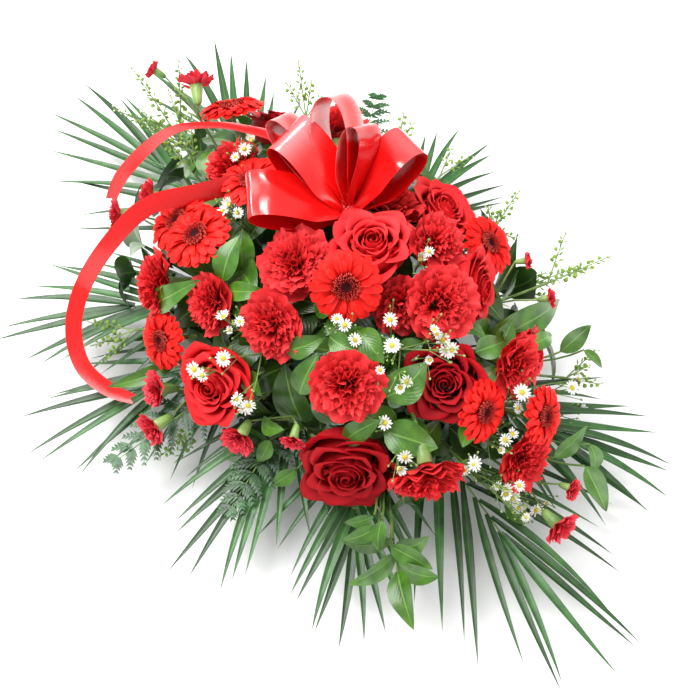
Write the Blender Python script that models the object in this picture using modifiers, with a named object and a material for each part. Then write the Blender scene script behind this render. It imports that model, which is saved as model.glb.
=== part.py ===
"""A red funeral spray: roses, carnations and gerberas over palm fronds, in foam on a plastic tray.

Metres, +Z up. X runs along the spray towards its tail, and the origin is the middle of the tray's
underside. Every flower, frond and sprig is placed by where its face or tip lies on the finished
spray, and its stem then runs back into a hole of its own in the foam.
"""

import math

import bmesh
import bpy
from mathutils import Matrix, Vector

COLLECTION = "Funeral flower spray"

# Driving dimensions of what carries the flowers
TRAY_LENGTH = 0.300
TRAY_WIDTH = 0.150
TRAY_HEIGHT = 0.022
TRAY_WALL = 0.0016
TRAY_CORNER = 0.020
FOAM_LENGTH = 0.270
FOAM_WIDTH = 0.116
FOAM_TOP = 0.100
CLEARANCE = 0.0003
FOAM_BASE = TRAY_WALL + CLEARANCE

# How stems run: depth in the foam, the play round a stem in its hole, and where stems aim for
STEM_DEPTH = 0.030
HOLE_PLAY = 0.0004
HOLE_BELOW = 0.001
HOLE_ABOVE = 0.012
STEM_IN_CALYX = 0.005
STEM_LEAD = 0.22
STEM_FIRST_BEND = 0.45
STEM_LAST_BEND = 0.30
STEM_STEPS = (0.35, 0.70)
AIM_ALONG = 0.36
AIM_ACROSS = 0.16
AIM_HEIGHT = 0.040
AIM_RISE = 0.10

ROSE_STEM = 0.0028
CARNATION_STEM = 0.0020
GERBERA_STEM = 0.0022
SPRIG_STEM = 0.0013
BRANCH = 0.0009

# Rows of a pleated bloom, from under its calyx out over the petals and in to its heart.
# Each row is radius, height, notch depth and notch drop as shares of the half width, then how
# many columns its notches are turned by, and how many of its columns run together.
ROSE_ROWS = (
    (0.00, -1.30, 0.00, 0.00, 0, 3),
    (0.20, -1.22, 0.00, 0.00, 0, 3),
    (0.27, -1.00, 0.00, 0.00, 0, 3),
    (0.62, -0.76, 0.00, 0.00, 0, 1),
    (0.99, -0.36, 0.12, 0.05, 0, 1),
    (0.95, -0.27, 0.14, 0.05, 0, 1),
    (0.62, -0.56, 0.00, 0.00, 0, 1),
    (0.73, -0.10, 0.10, 0.06, 1, 1),
    (0.42, -0.38, 0.00, 0.00, 0, 1),
    (0.46, 0.02, 0.12, 0.08, 2, 1),
    (0.21, -0.20, 0.00, 0.00, 0, 3),
    (0.00, 0.03, 0.00, 0.00, 0, 3),
)
ROSE_COLUMNS = 15
ROSE_COLUMNS_PER_PETAL = 3
CARNATION_ROWS = (
    (0.00, -1.42, 0.00, 0.00, 0, 2),
    (0.14, -1.38, 0.00, 0.00, 0, 2),
    (0.21, -0.80, 0.00, 0.00, 0, 2),
    (0.55, -0.56, 0.00, 0.00, 0, 1),
    (0.98, -0.27, 0.15, 0.03, 0, 1),
    (0.62, -0.38, 0.00, 0.00, 0, 1),
    (0.71, -0.02, 0.15, 0.06, 1, 1),
    (0.38, -0.24, 0.00, 0.00, 0, 1),
    (0.36, 0.07, 0.30, 0.06, 0, 1),
    (0.00, -0.04, 0.00, 0.00, 0, 1),
)
CARNATION_COLUMNS = 14
GERBERA_ROWS = (
    (0.00, -0.36, 0.00, 0.00, 0, 2),
    (0.22, -0.27, 0.00, 0.00, 0, 2),
    (1.00, -0.06, 0.36, 0.02, 0, 1),
    (0.40, -0.12, 0.00, 0.00, 0, 1),
    (0.50, 0.02, 0.26, 0.04, 1, 1),
    (0.26, -0.02, 0.00, 0.00, 0, 2),
    (0.00, 0.05, 0.00, 0.00, 0, 2),
)
GERBERA_COLUMNS = 22
SPRAY_HEAD_ROWS = (
    (0.00, -1.50, 0.00, 0.00, 0, 2),
    (0.22, -1.42, 0.00, 0.00, 0, 2),
    (0.33, -0.72, 0.00, 0.00, 0, 2),
    (0.98, -0.22, 0.18, 0.03, 0, 1),
    (0.52, -0.30, 0.00, 0.00, 0, 1),
    (0.46, 0.06, 0.26, 0.06, 1, 1),
    (0.00, -0.05, 0.00, 0.00, 0, 1),
)
SPRAY_HEAD_COLUMNS = 10
DAISY_ROWS = (
    (0.00, -0.34, 0.00, 0.00, 0, 2),
    (1.00, 0.00, 0.45, 0.00, 0, 1),
    (0.36, 0.06, 0.00, 0.00, 0, 1),
    (0.00, 0.28, 0.00, 0.00, 0, 1),
)
DAISY_COLUMNS = 10
DAISY_WIDTH = 0.015

# Rows that the green calyx takes up at the foot of a bloom
CALYX_ROWS = 1

# How a branch leaves the fork of a spray carnation, and how far it reaches into a head
SPRAY_FORK_DEPTH = 0.060
FORK_OVERLAP = 0.002
BRANCH_BOW = 0.006
BRANCH_TUCK = 0.004
SPRAY_BRANCH = 0.0011

# Blooms: where the middle of the face lies, the way it faces (bearing, elevation) and its width
ROSES = {
    "rose_top": (((0.055, 0.000, 0.238), (-55, 83), 0.075),),
    "rose_front": (((0.184, -0.123, 0.112), (-40, 10), 0.090),),
    "rose_left": (((0.044, -0.178, 0.137), (-68, 30), 0.078),),
    "rose_centre": (((0.187, -0.018, 0.178), (-45, 42), 0.070),),
    "rose_right": (((0.132, 0.074, 0.188), (33, 16), 0.072),),
    "rose_back": (((-0.148, 0.044, 0.196), (124, 42), 0.072),),
    "rose_upper": (((0.040, 0.102, 0.200), (62, 57), 0.070),),
    "rose_tail": (((0.192, 0.093, 0.140), (47, 17), 0.054),),
}
CARNATIONS = {
    "carnation_crown": (((0.026, -0.066, 0.228), (-64, 74), 0.064),),
    "carnation_left_crown": (((0.056, -0.118, 0.198), (-70, 36), 0.059),),
    "carnation_middle": (((0.146, -0.095, 0.190), (-36, 43), 0.062),),
    "carnation_right_pair": (
        ((0.142, 0.014, 0.224), (-11, 52), 0.063),
        ((0.111, -0.006, 0.201), (-16, 40), 0.052),
    ),
    "carnation_front": (((0.243, -0.074, 0.130), (-24, -18), 0.062),),
    "carnation_bow": (((-0.006, 0.046, 0.224), (116, 61), 0.058),),
    "carnation_upper": (((0.089, 0.054, 0.230), (31, 49), 0.054),),
    "carnation_right": (((0.212, 0.053, 0.172), (16, 20), 0.055),),
    "carnation_tail": (((0.267, 0.022, 0.108), (2, 20), 0.052),),
    "carnation_left": (((-0.014, -0.142, 0.178), (-96, 26), 0.055),),
    "carnation_back": (((-0.106, 0.074, 0.212), (147, 45), 0.060),),
    "carnation_back_left": (((-0.128, -0.037, 0.206), (-157, 55), 0.056),),
    "carnation_far_left": (((-0.080, -0.164, 0.153), (-113, 15), 0.058),),
}
GERBERAS = {
    "gerbera_left_pair": (
        ((-0.066, -0.114, 0.207), (-117, 66), 0.064),
        ((-0.098, -0.115, 0.196), (-122, 57), 0.060),
    ),
    "gerbera_middle": (((0.081, -0.048, 0.230), (-36, 45), 0.062),),
    "gerbera_side": (((-0.034, -0.181, 0.128), (-90, 31), 0.054),),
    "gerbera_bow": (((-0.080, -0.042, 0.222), (-140, 77), 0.058),),
    "gerbera_back": (((-0.170, -0.004, 0.220), (160, 54), 0.062),),
    "gerbera_right": (((0.224, 0.001, 0.162), (15, 28), 0.055),),
    "gerbera_tail": (((0.247, 0.055, 0.134), (26, 28), 0.054),),
    "gerbera_upper": (((0.086, 0.116, 0.178), (43, 51), 0.056),),
}

# Spray carnations: a main stem that forks to several small heads, each placed as a bloom is
SPRAY_CARNATIONS = {
    "spray_carnation_top": (
        ((-0.233, -0.053, 0.247), (-151, 17), 0.021),
        ((-0.189, -0.029, 0.259), (150, 27), 0.036),
    ),
    "spray_carnation_left": (
        ((-0.149, -0.121, 0.188), (-127, 16), 0.036),
        ((-0.156, -0.153, 0.174), (-122, 9), 0.032),
    ),
    "spray_carnation_low": (
        ((0.019, -0.233, 0.084), (-83, 5), 0.036),
        ((-0.014, -0.209, 0.094), (-106, 23), 0.036),
    ),
    "spray_carnation_front": (
        ((0.093, -0.182, 0.110), (-60, 4), 0.037),
        ((0.141, -0.151, 0.142), (-48, -14), 0.025),
    ),
    "spray_carnation_tail": (
        ((0.326, 0.018, 0.075), (3, 2), 0.036),
        ((0.304, 0.048, 0.088), (20, 15), 0.022),
    ),
    "spray_carnation_right": (
        ((0.134, 0.122, 0.196), (59, 6), 0.018),
        ((0.165, 0.128, 0.168), (50, 20), 0.020),
    ),
}

# Fronds lie on one cone that falls away from the foam, each at its own level above it. The foot
# of a frond lies at shares of its tip's place, and its leaflets run on past the end of its rib.
FROND_AIM = (0.25, 0.10)
LEAFLET_PAST_RIB = 1.02
LEAFLET_FIRST_CUT = 0.10
LEAFLET_BACK = 0.35
FROND_HOLE = 0.72
CONE_FLAT = 0.150
CONE_TOP = 0.046
CONE_FALL = 0.036
CONE_REACH = 0.360
CONE_CURVE = 0.9
BLADE_WIDEST = 0.43
PALM_STEM = 0.0034
PALM_BLADE = 0.0009
PALM_LEAFLETS = 7
PALM_LEAFLET_WIDTH = 0.0085
PALM_RIB_START = 0.07
PALM_RIB_END = 0.46
PALM_SPREAD = (40, 12)
# Bearing of the tip, how far it reaches, the level above the cone
PALMS = {
    "palm_far_left": (-174, 0.462, 0.002),
    "palm_back_left": (168, 0.440, 0.018),
    "palm_left": (-128, 0.345, 0.010),
    "palm_low_left": (-102, 0.335, 0.002),
    "palm_front_left": (-61, 0.315, 0.018),
    "palm_front": (-34.5, 0.350, 0.010),
    "palm_tail": (-3, 0.445, 0.002),
    "palm_right": (23, 0.370, 0.018),
    "palm_back_right": (113, 0.310, 0.002),
}
FERN_STEM = 0.0024
FERN_BLADE = 0.0008
FERN_PINNAE = 7
FERN_PINNA_WIDTH = 0.0070
FERN_RIB_START = 0.45
FERN_RIB_END = 0.88
FERN_SPREAD = (58, 30)
FERNS = {
    "fern_front_left": (-87, 0.275, 0.026),
    "fern_front": (-60, 0.250, 0.026),
    "fern_back": (136, 0.310, 0.026),
}

# Leafy sprigs: where the stem ends, then the tip and the width of each leaf
LEAF_BLADE = 0.0010
LEAF_FOLD = 0.14
LEAF_ARCH = 0.10
LEAF_FACING = 0.6
LEAF_FIRST = 0.06
LEAF_SPACING = 0.80
LEAF_ROWS = ((0.0, 0.06), (0.34, 0.50), (0.68, 0.42), (1.0, 0.0))
LEAFY_SPRIGS = {
    "leaves_left": (
        (-0.026, -0.094, 0.178),
        (
            ((0.018, -0.104, 0.196), 0.030),
            ((-0.054, -0.070, 0.194), 0.032),
            ((-0.062, -0.132, 0.170), 0.026),
        ),
    ),
    "leaves_middle": (
        (0.124, -0.058, 0.176),
        (
            ((0.132, -0.032, 0.196), 0.030),
            ((0.092, -0.064, 0.202), 0.030),
            ((0.070, -0.106, 0.178), 0.030),
            ((0.168, -0.054, 0.166), 0.036),
        ),
    ),
    "leaves_front": (
        (0.172, -0.060, 0.130),
        (
            ((0.146, -0.092, 0.160), 0.030),
            ((0.212, -0.050, 0.114), 0.032),
            ((0.192, -0.040, 0.106), 0.026),
        ),
    ),
    "leaves_right": (
        (0.160, 0.058, 0.146),
        (
            ((0.150, 0.036, 0.180), 0.026),
            ((0.172, 0.062, 0.174), 0.026),
            ((0.134, 0.172, 0.096), 0.028),
        ),
    ),
    "leaves_low_front": (
        (0.266, -0.126, 0.066),
        (
            ((0.316, -0.146, 0.058), 0.024),
            ((0.292, -0.098, 0.066), 0.022),
            ((0.250, -0.168, 0.066), 0.022),
            ((0.256, -0.082, 0.070), 0.022),
            ((0.216, -0.150, 0.072), 0.022),
        ),
    ),
}

# Sprays of small daisies: where the stem forks, then where each daisy sits
DAISY_SPRAYS = {
    "asters_left": (
        (0.048, -0.120, 0.150),
        (
            (0.044, -0.158, 0.170),
            (0.092, -0.164, 0.158),
            (0.020, -0.140, 0.192),
        ),
    ),
    "asters_middle": (
        (0.138, -0.030, 0.186),
        (
            (0.146, -0.046, 0.214),
            (0.158, -0.006, 0.212),
            (0.177, -0.004, 0.208),
            (0.178, -0.060, 0.200),
        ),
    ),
    "asters_tail": (
        (0.236, -0.016, 0.090),
        (
            (0.252, -0.034, 0.144),
            (0.280, -0.018, 0.116),
            (0.296, -0.004, 0.082),
            (0.286, 0.006, 0.064),
        ),
    ),
}

# Sprigs of flat green seed pods: the fork, then the end of each branch with pods along it
POD_WIDTH = 0.0050
POD_THICK = 0.0024
PODS_PER_BRANCH = 2
POD_SPACING = 0.30
POD_SWING = 0.3
POD_SPRIGS = {
    "seed_sprig_back_left": (
        (-0.196, -0.048, 0.170),
        (
            (-0.262, -0.060, 0.232),
            (-0.236, -0.020, 0.236),
            (-0.250, -0.090, 0.200),
            (-0.214, -0.070, 0.206),
        ),
    ),
    "seed_sprig_right": (
        (0.134, 0.150, 0.140),
        (
            (0.110, 0.190, 0.166),
            (0.150, 0.214, 0.150),
            (0.160, 0.180, 0.170),
        ),
    ),
}

# The bow: a ribbon gathered at one knot, with loops that stand out of it and two forked ends
RIBBON_WIDTH = 0.050
RIBBON_THICK = 0.0012
RIBBON_PINCH = 0.16
RIBBON_OPENING = 1.5
LOOP_SEGMENTS = 8
LOOP_FOOT = 0.003
KNOT = (0.000, 0.002, 0.233)
KNOT_RADIUS = 0.010
# Far end of each loop, the way its width runs there, and how far it stands open
LOOPS = (
    ((-0.041, -0.070, 0.253), (-0.57, 0.82, -0.07), 0.030),
    ((-0.063, -0.012, 0.281), (-0.05, 0.97, -0.25), 0.034),
    ((-0.089, -0.003, 0.272), (0.26, -0.70, 0.67), 0.028),
    ((-0.064, 0.042, 0.295), (0.23, -0.60, 0.77), 0.044),
    ((-0.028, 0.050, 0.281), (0.28, -0.70, 0.65), 0.028),
    ((0.003, 0.084, 0.265), (0.96, -0.14, 0.26), 0.030),
)
RIBBON_FACE = (0.465, -0.337, 0.819)
TAIL_WIDTHS = (0.019, 0.013)
TAIL_PINCH = 0.5
TAIL_PATHS = (
    (
        KNOT,
        (-0.050, -0.024, 0.252),
        (-0.082, -0.046, 0.246),
        (-0.099, -0.088, 0.236),
        (-0.117, -0.134, 0.213),
        (-0.129, -0.176, 0.168),
        (-0.136, -0.207, 0.118),
        (-0.120, -0.230, 0.088),
        (-0.090, -0.240, 0.070),
        (-0.058, -0.232, 0.062),
        (-0.034, -0.217, 0.060),
    ),
    (
        KNOT,
        (-0.060, -0.010, 0.264),
        (-0.105, -0.032, 0.262),
        (-0.138, -0.052, 0.250),
        (-0.168, -0.068, 0.228),
        (-0.196, -0.084, 0.190),
        (-0.212, -0.110, 0.150),
        (-0.216, -0.126, 0.118),
    ),
)
PICK_RADIUS = 0.0018

STEM_SLOT = 1
STEM_GREEN = (0.120, 0.230, 0.060)

LEAF_GREEN = (0.045, 0.150, 0.020)
FROND_GREEN = (0.020, 0.090, 0.020)
FERN_GREEN = (0.012, 0.070, 0.016)
POD_GREEN = (0.230, 0.360, 0.080)
ROSE_RED = (0.280, 0.002, 0.004)
CARNATION_RED = (0.720, 0.010, 0.010)
GERBERA_RED = (0.660, 0.006, 0.004)
RIBBON_RED = (0.700, 0.008, 0.008)
DAISY_WHITE = (0.850, 0.850, 0.800)
FOAM_GREEN = (0.030, 0.120, 0.060)
TRAY_GREEN = (0.010, 0.045, 0.020)


def material(name, colour, roughness):
    """A plain finish of one colour."""
    found = bpy.data.materials.get(name)
    if found:
        return found
    made = bpy.data.materials.new(name)
    made.use_nodes = True
    shader = made.node_tree.nodes["Principled BSDF"]
    shader.inputs["Base Color"].default_value = (*colour, 1.0)
    shader.inputs["Roughness"].default_value = roughness
    shader.inputs["Metallic"].default_value = 0.0
    made.diffuse_color = (*colour, 1.0)
    return made


def object_of(bm, name):
    """A new object that holds this mesh, in the spray's collection."""
    mesh = bpy.data.meshes.new(name)
    bm.to_mesh(mesh)
    bm.free()
    obj = bpy.data.objects.new(name, mesh)
    bpy.data.collections[COLLECTION].objects.link(obj)
    return obj


def applied(obj):
    """Turns the object's modifiers into its mesh."""
    bpy.context.view_layer.update()
    graph = bpy.context.evaluated_depsgraph_get()
    mesh = bpy.data.meshes.new_from_object(obj.evaluated_get(graph))
    obj.modifiers.clear()
    obj.data = mesh
    return obj


def joined(obj, others, operation="UNION"):
    """Fuses the other objects into this one, or cuts them out of it, and removes them."""
    if not others:
        return obj
    group = bpy.data.collections.new("joining")
    bpy.context.scene.collection.children.link(group)
    for other in others:
        bpy.data.collections[COLLECTION].objects.unlink(other)
        group.objects.link(other)
    fuse = obj.modifiers.new("Join", "BOOLEAN")
    fuse.operation = operation
    fuse.operand_type = "COLLECTION"
    fuse.collection = group
    applied(obj)
    for other in others:
        bpy.data.objects.remove(other)
    bpy.data.collections.remove(group)
    return obj


def without_inner_skins(obj):
    """Keeps the largest connected skin of the mesh, which fills any pocket that fusing sealed."""
    bm = bmesh.new()
    bm.from_mesh(obj.data)
    skins = []
    unseen = set(bm.verts)
    while unseen:
        skin = {unseen.pop()}
        front = list(skin)
        while front:
            for edge in front.pop().link_edges:
                for vertex in edge.verts:
                    if vertex in unseen:
                        unseen.remove(vertex)
                        skin.add(vertex)
                        front.append(vertex)
        skins.append(skin)
    skins.sort(key=len)
    for skin in skins[:-1]:
        bmesh.ops.delete(bm, geom=list(skin), context="VERTS")
    bm.to_mesh(obj.data)
    bm.free()
    return obj


def tube(points, radius):
    """A four-sided bevelled curve through these points, as a closed mesh."""
    curve = bpy.data.curves.new("tube", "CURVE")
    curve.dimensions = "3D"
    curve.bevel_depth = radius
    curve.bevel_resolution = 0
    curve.use_fill_caps = True
    spline = curve.splines.new("POLY")
    spline.points.add(len(points) - 1)
    for point, place in zip(spline.points, points):
        point.co = (*place, 1.0)
    guide = bpy.data.objects.new("tube", curve)
    bpy.context.scene.collection.objects.link(guide)
    bpy.context.view_layer.update()
    graph = bpy.context.evaluated_depsgraph_get()
    mesh = bpy.data.meshes.new_from_object(guide.evaluated_get(graph))
    bpy.data.objects.remove(guide)
    bm = bmesh.new()
    bm.from_mesh(mesh)
    bmesh.ops.remove_doubles(bm, verts=bm.verts, dist=1e-6)
    for face in bm.faces:
        face.material_index = STEM_SLOT
    return object_of(bm, "tube")


def rolled_skin(columns, rows, place):
    """A closed skin: a grid rolled into a ring whose end rows shrink to points."""
    bm = bmesh.new()
    bmesh.ops.create_grid(bm, x_segments=columns, y_segments=rows, size=0.5)
    for vertex in bm.verts:
        column = round((vertex.co.x + 0.5) * columns) % columns
        row = round((vertex.co.y + 0.5) * rows)
        vertex.co = place(column, row)
    bmesh.ops.remove_doubles(bm, verts=bm.verts, dist=1e-6)
    bmesh.ops.triangulate(bm, faces=bm.faces)
    bmesh.ops.recalc_face_normals(bm, faces=bm.faces)
    return bm


def direction(bearing, elevation):
    """The unit vector at this bearing and elevation in degrees."""
    flat = math.cos(math.radians(elevation))
    turn = math.radians(bearing)
    return Vector((flat * math.cos(turn), flat * math.sin(turn), math.sin(math.radians(elevation))))


def pleated_bloom(name, rows, columns, columns_per_petal, place, axis, width):
    """A bloom of nested petal rings, its face at place and facing along axis."""
    half = width / 2

    def point(column, row):
        radius, height, notch, drop, turn, run_together = rows[row]
        at_notch = 1.0 if (column + turn) % columns_per_petal == 0 else 0.0
        column -= column % run_together
        angle = 2 * math.pi * column / columns
        reach = half * radius * (1 - notch * at_notch)
        return Vector((
            reach * math.cos(angle),
            reach * math.sin(angle),
            half * (height - drop * at_notch),
        ))

    bm = rolled_skin(columns, len(rows) - 1, point)
    petals_start = half * (rows[CALYX_ROWS][1] + rows[CALYX_ROWS + 1][1]) / 2
    for face in bm.faces:
        if face.calc_center_median().z < petals_start:
            face.material_index = STEM_SLOT
    turn = Vector((0, 0, 1)).rotation_difference(axis).to_matrix().to_4x4()
    bmesh.ops.transform(bm, matrix=Matrix.Translation(place) @ turn, verts=bm.verts)
    return object_of(bm, name)


def foam_exit(aim, heading):
    """Where a line from inside the foam leaves it."""
    lows = (-FOAM_LENGTH / 2, -FOAM_WIDTH / 2, FOAM_BASE)
    highs = (FOAM_LENGTH / 2, FOAM_WIDTH / 2, FOAM_TOP)
    reaches = []
    for low, high, start, step in zip(lows, highs, aim, heading):
        if abs(step) > 1e-9:
            reaches.append(((high if step > 0 else low) - start) / step)
    return aim + heading * min(reaches)


def hole(root, entry, radius):
    """The plain round hole that a stem stands in, as a cutter."""
    heading = (entry - root).normalized()
    wall = (radius + HOLE_PLAY) / math.cos(math.pi / 4)
    return tube((root - heading * HOLE_BELOW, entry + heading * HOLE_ABOVE), wall)


def stem_path(neck, axis, place):
    """The run of a stem from its root in the foam to the back of a bloom, and where it enters."""
    aim = Vector((AIM_ALONG * place[0], AIM_ACROSS * place[1], AIM_HEIGHT + AIM_RISE * place[2]))
    reach = (neck - aim).length
    heading = (neck - axis * STEM_LEAD * reach - aim).normalized()
    entry = foam_exit(aim, heading)
    root = entry - heading * STEM_DEPTH
    reach = (neck - entry).length
    first = entry + heading * STEM_FIRST_BEND * reach
    second = neck - axis * STEM_LAST_BEND * reach
    points = [root, entry]
    for share in STEM_STEPS:
        rest = 1 - share
        points.append(
            entry * rest**3
            + first * 3 * rest**2 * share
            + second * 3 * rest * share**2
            + neck * share**3
        )
    return points + [neck]


def bloom_node(name, blooms, rows, columns, columns_per_petal, stem_radius, holes):
    """One node: each bloom on its own stem, fused where two of them touch."""
    pieces = []
    for place, facing, width in blooms:
        axis = direction(*facing)
        place = Vector(place)
        pieces.append(pleated_bloom(name, rows, columns, columns_per_petal, place, axis, width))
        neck = place + axis * rows[0][1] * width / 2
        points = stem_path(neck, axis, place)
        holes.append(hole(points[0], points[1], stem_radius))
        points[-1] = neck + axis * STEM_IN_CALYX
        pieces.append(tube(points, stem_radius))
    node = joined(pieces[0], pieces[1:])
    node.name = name
    return node


def forked_spray(name, heads, holes):
    """A spray carnation: a main stem to the fork, and a head on each branch."""
    places = [Vector(head[0]) for head in heads]
    middle = sum(places, Vector()) / len(places)
    axis = (middle - Vector((AIM_ALONG * middle.x, 0, AIM_HEIGHT))).normalized()
    fork = middle - axis * SPRAY_FORK_DEPTH
    points = stem_path(fork, axis, middle)
    holes.append(hole(points[0], points[1], SPRIG_STEM))
    pieces = [tube(points + [fork + axis * FORK_OVERLAP], SPRIG_STEM)]
    for place, facing, width in heads:
        way = direction(*facing)
        place = Vector(place)
        neck = place + way * SPRAY_HEAD_ROWS[0][1] * width / 2
        bend = (fork + neck) / 2 + axis * BRANCH_BOW - way * BRANCH_TUCK
        branch = (fork - axis * FORK_OVERLAP, bend, neck, neck + way * BRANCH_TUCK)
        pieces.append(tube(branch, SPRAY_BRANCH))
        pieces.append(
            pleated_bloom(name, SPRAY_HEAD_ROWS, SPRAY_HEAD_COLUMNS, 2, place, way, width)
        )
    node = joined(pieces[0], pieces[1:])
    node.name = name
    return node


def cone_height(x, y, level):
    """The height of the falling cone that the fronds lie on."""
    away = max(0.0, math.hypot(x, y) - CONE_FLAT) / CONE_REACH
    return CONE_TOP + level - CONE_FALL * away**CONE_CURVE


def extruded_blade(bm, edge, centre, along, half, tip):
    """Draws a pointed leaflet out of one edge of the rib."""
    made = bmesh.ops.extrude_edge_only(bm, edges=[edge])
    ends = [item for item in made["geom"] if isinstance(item, bmesh.types.BMVert)]
    ends.sort(key=lambda vertex: vertex.co.xy.dot(along))
    ends[0].co = (centre - along * half).to_3d()
    ends[1].co = (centre + along * half).to_3d()
    middle = next(item for item in made["geom"] if isinstance(item, bmesh.types.BMEdge))
    made = bmesh.ops.extrude_edge_only(bm, edges=[middle])
    ends = [item for item in made["geom"] if isinstance(item, bmesh.types.BMVert)]
    bmesh.ops.pointmerge(bm, verts=ends, merge_co=tip.to_3d())


def frond(name, place, leaflets, leaflet_width, rib_share, spread, thick, blade, holes):
    """One frond: a thick rib that runs into the foam, and a pointed blade for each leaflet."""
    bearing, reach, level = place
    toward = direction(bearing, 0).xy
    tip = toward * reach
    aim = Vector((FROND_AIM[0] * tip.x, FROND_AIM[1] * tip.y))
    heading = (tip - aim).normalized()
    across = Vector((-heading.y, heading.x))
    exit_point = foam_exit(
        Vector((aim.x, aim.y, CONE_TOP + level)), Vector((heading.x, heading.y, 0.0))
    ).xy
    length = (tip - exit_point).length
    start, end = rib_share
    stations = [-STEM_DEPTH, 0.0]
    for step in range(leaflets + 1):
        stations.append(length * (start + (end - start) * step / leaflets))
    bm = bmesh.new()
    bmesh.ops.create_grid(bm, x_segments=len(stations) - 1, y_segments=1, size=0.5)
    for vertex in bm.verts:
        station = round((vertex.co.x + 0.5) * (len(stations) - 1))
        vertex.co = (stations[station], thick / 2 * (1 if vertex.co.y > 0 else -1), 0)
    bm.verts.ensure_lookup_table()
    rib = [vertex.index for vertex in bm.verts]
    for side in (-1, 1):
        edges = [
            edge
            for edge in bm.edges
            if all(v.co.y * side > 0 and v.co.x > stations[1] + 1e-6 for v in edge.verts)
            and edge.is_boundary
        ]
        edges.sort(key=lambda edge: edge.verts[0].co.x + edge.verts[1].co.x)
        for number, edge in enumerate(edges[:leaflets]):
            share = number / (leaflets - 1)
            angle = math.radians(spread[0] + (spread[1] - spread[0]) * share) * side
            way = Vector((math.cos(angle), math.sin(angle)))
            root = (edge.verts[0].co.xy + edge.verts[1].co.xy) / 2
            span = length * (LEAFLET_PAST_RIB - end - LEAFLET_FIRST_CUT * (1 - share))
            span += LEAFLET_BACK * (length * end - root.x)
            along = Vector((abs(way.y), -way.x * side))
            widest = root + way * span * BLADE_WIDEST
            extruded_blade(bm, edge, widest, along, leaflet_width / 2, root + way * span)
    last = next(
        edge for edge in bm.edges if all(abs(v.co.x - stations[-1]) < 1e-6 for v in edge.verts)
        and all(abs(v.co.y) < thick for v in edge.verts)
    )
    root = Vector((stations[-1], 0.0))
    span = length - stations[-1]
    widest = root + Vector((span * BLADE_WIDEST, 0))
    extruded_blade(bm, last, widest, Vector((0, 1)), leaflet_width / 2, root + Vector((span, 0)))
    bm.verts.ensure_lookup_table()
    bm.verts.index_update()
    for vertex in bm.verts:
        flat = exit_point + heading * vertex.co.x + across * vertex.co.y
        vertex.co = (flat.x, flat.y, cone_height(flat.x, flat.y, level))
    bmesh.ops.triangulate(bm, faces=bm.faces)
    bmesh.ops.recalc_face_normals(bm, faces=bm.faces)
    node = object_of(bm, name)
    group = node.vertex_groups.new(name="thickness")
    thin = [index for index in range(len(node.data.vertices)) if index not in rib]
    group.add(rib, 1.0, "REPLACE")
    group.add(thin, blade / thick, "REPLACE")
    wall = node.modifiers.new("Blade", "SOLIDIFY")
    wall.thickness = thick
    wall.offset = 0
    wall.vertex_group = group.name
    applied(node)
    root_point = exit_point - heading * STEM_DEPTH
    height = CONE_TOP + level
    holes.append(hole(
        Vector((root_point.x, root_point.y, height)),
        Vector((exit_point.x, exit_point.y, height)),
        thick * FROND_HOLE,
    ))
    return node


def leaf(base, tip, width):
    """One pointed leaf, folded a little along its middle."""
    run = tip - base
    outward = Vector((LEAF_FACING * tip.x, tip.y, tip.z - TRAY_HEIGHT)).normalized()
    side = run.cross(outward).normalized()
    up = side.cross(run).normalized()
    last = len(LEAF_ROWS) - 1
    bm = bmesh.new()
    bmesh.ops.create_grid(bm, x_segments=2, y_segments=last, size=0.5)
    for vertex in bm.verts:
        across = vertex.co.x * 2
        share, half = LEAF_ROWS[round((vertex.co.y + 0.5) * last)]
        lift = LEAF_FOLD * width * abs(across) * (half * 2)
        lift += LEAF_ARCH * run.length * math.sin(math.pi * share)
        vertex.co = base + run * share + side * across * half * width + up * lift
    bmesh.ops.remove_doubles(bm, verts=bm.verts, dist=1e-5)
    bmesh.ops.triangulate(bm, faces=bm.faces)
    bmesh.ops.recalc_face_normals(bm, faces=bm.faces)
    made = object_of(bm, "leaf")
    wall = made.modifiers.new("Blade", "SOLIDIFY")
    wall.thickness = LEAF_BLADE
    wall.offset = 0
    return applied(made)


def leafy_sprig(name, end, leaves, holes):
    """A stem with pointed leaves that leave it one above the other."""
    end = Vector(end)
    axis = (end - Vector((AIM_ALONG * end.x, AIM_ACROSS * end.y, AIM_HEIGHT))).normalized()
    points = stem_path(end, axis, end)
    holes.append(hole(points[0], points[1], SPRIG_STEM))
    pieces = [tube(points, SPRIG_STEM)]
    for number, (tip, width) in enumerate(leaves):
        base = points[-1].lerp(points[-2], LEAF_FIRST + LEAF_SPACING * number / len(leaves))
        pieces.append(leaf(base, Vector(tip), width))
    node = joined(pieces[0], pieces[1:])
    node.name = name
    return node


def daisy_spray(name, fork, daisies, holes):
    """Small daisies, each on its own branch of one stem."""
    fork = Vector(fork)
    axis = (fork - Vector((AIM_ALONG * fork.x, AIM_ACROSS * fork.y, AIM_HEIGHT))).normalized()
    points = stem_path(fork, axis, fork)
    holes.append(hole(points[0], points[1], SPRIG_STEM))
    pieces = [tube(points, SPRIG_STEM)]
    for place in daisies:
        place = Vector(place)
        way = (place - fork).normalized()
        pieces.append(tube((fork - way * FORK_OVERLAP, place), BRANCH))
        pieces.append(
            pleated_bloom(name, DAISY_ROWS, DAISY_COLUMNS, 2, place, way, DAISY_WIDTH)
        )
    node = joined(pieces[0], pieces[1:])
    node.name = name
    return node


def pod(place):
    """One flat seed pod."""
    bm = bmesh.new()
    bmesh.ops.create_uvsphere(bm, u_segments=4, v_segments=2, radius=POD_WIDTH / 2)
    bmesh.ops.scale(bm, vec=(1.0, POD_THICK / POD_WIDTH, 1.0), verts=bm.verts)
    bmesh.ops.translate(bm, vec=place, verts=bm.verts)
    return object_of(bm, "pod")


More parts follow.
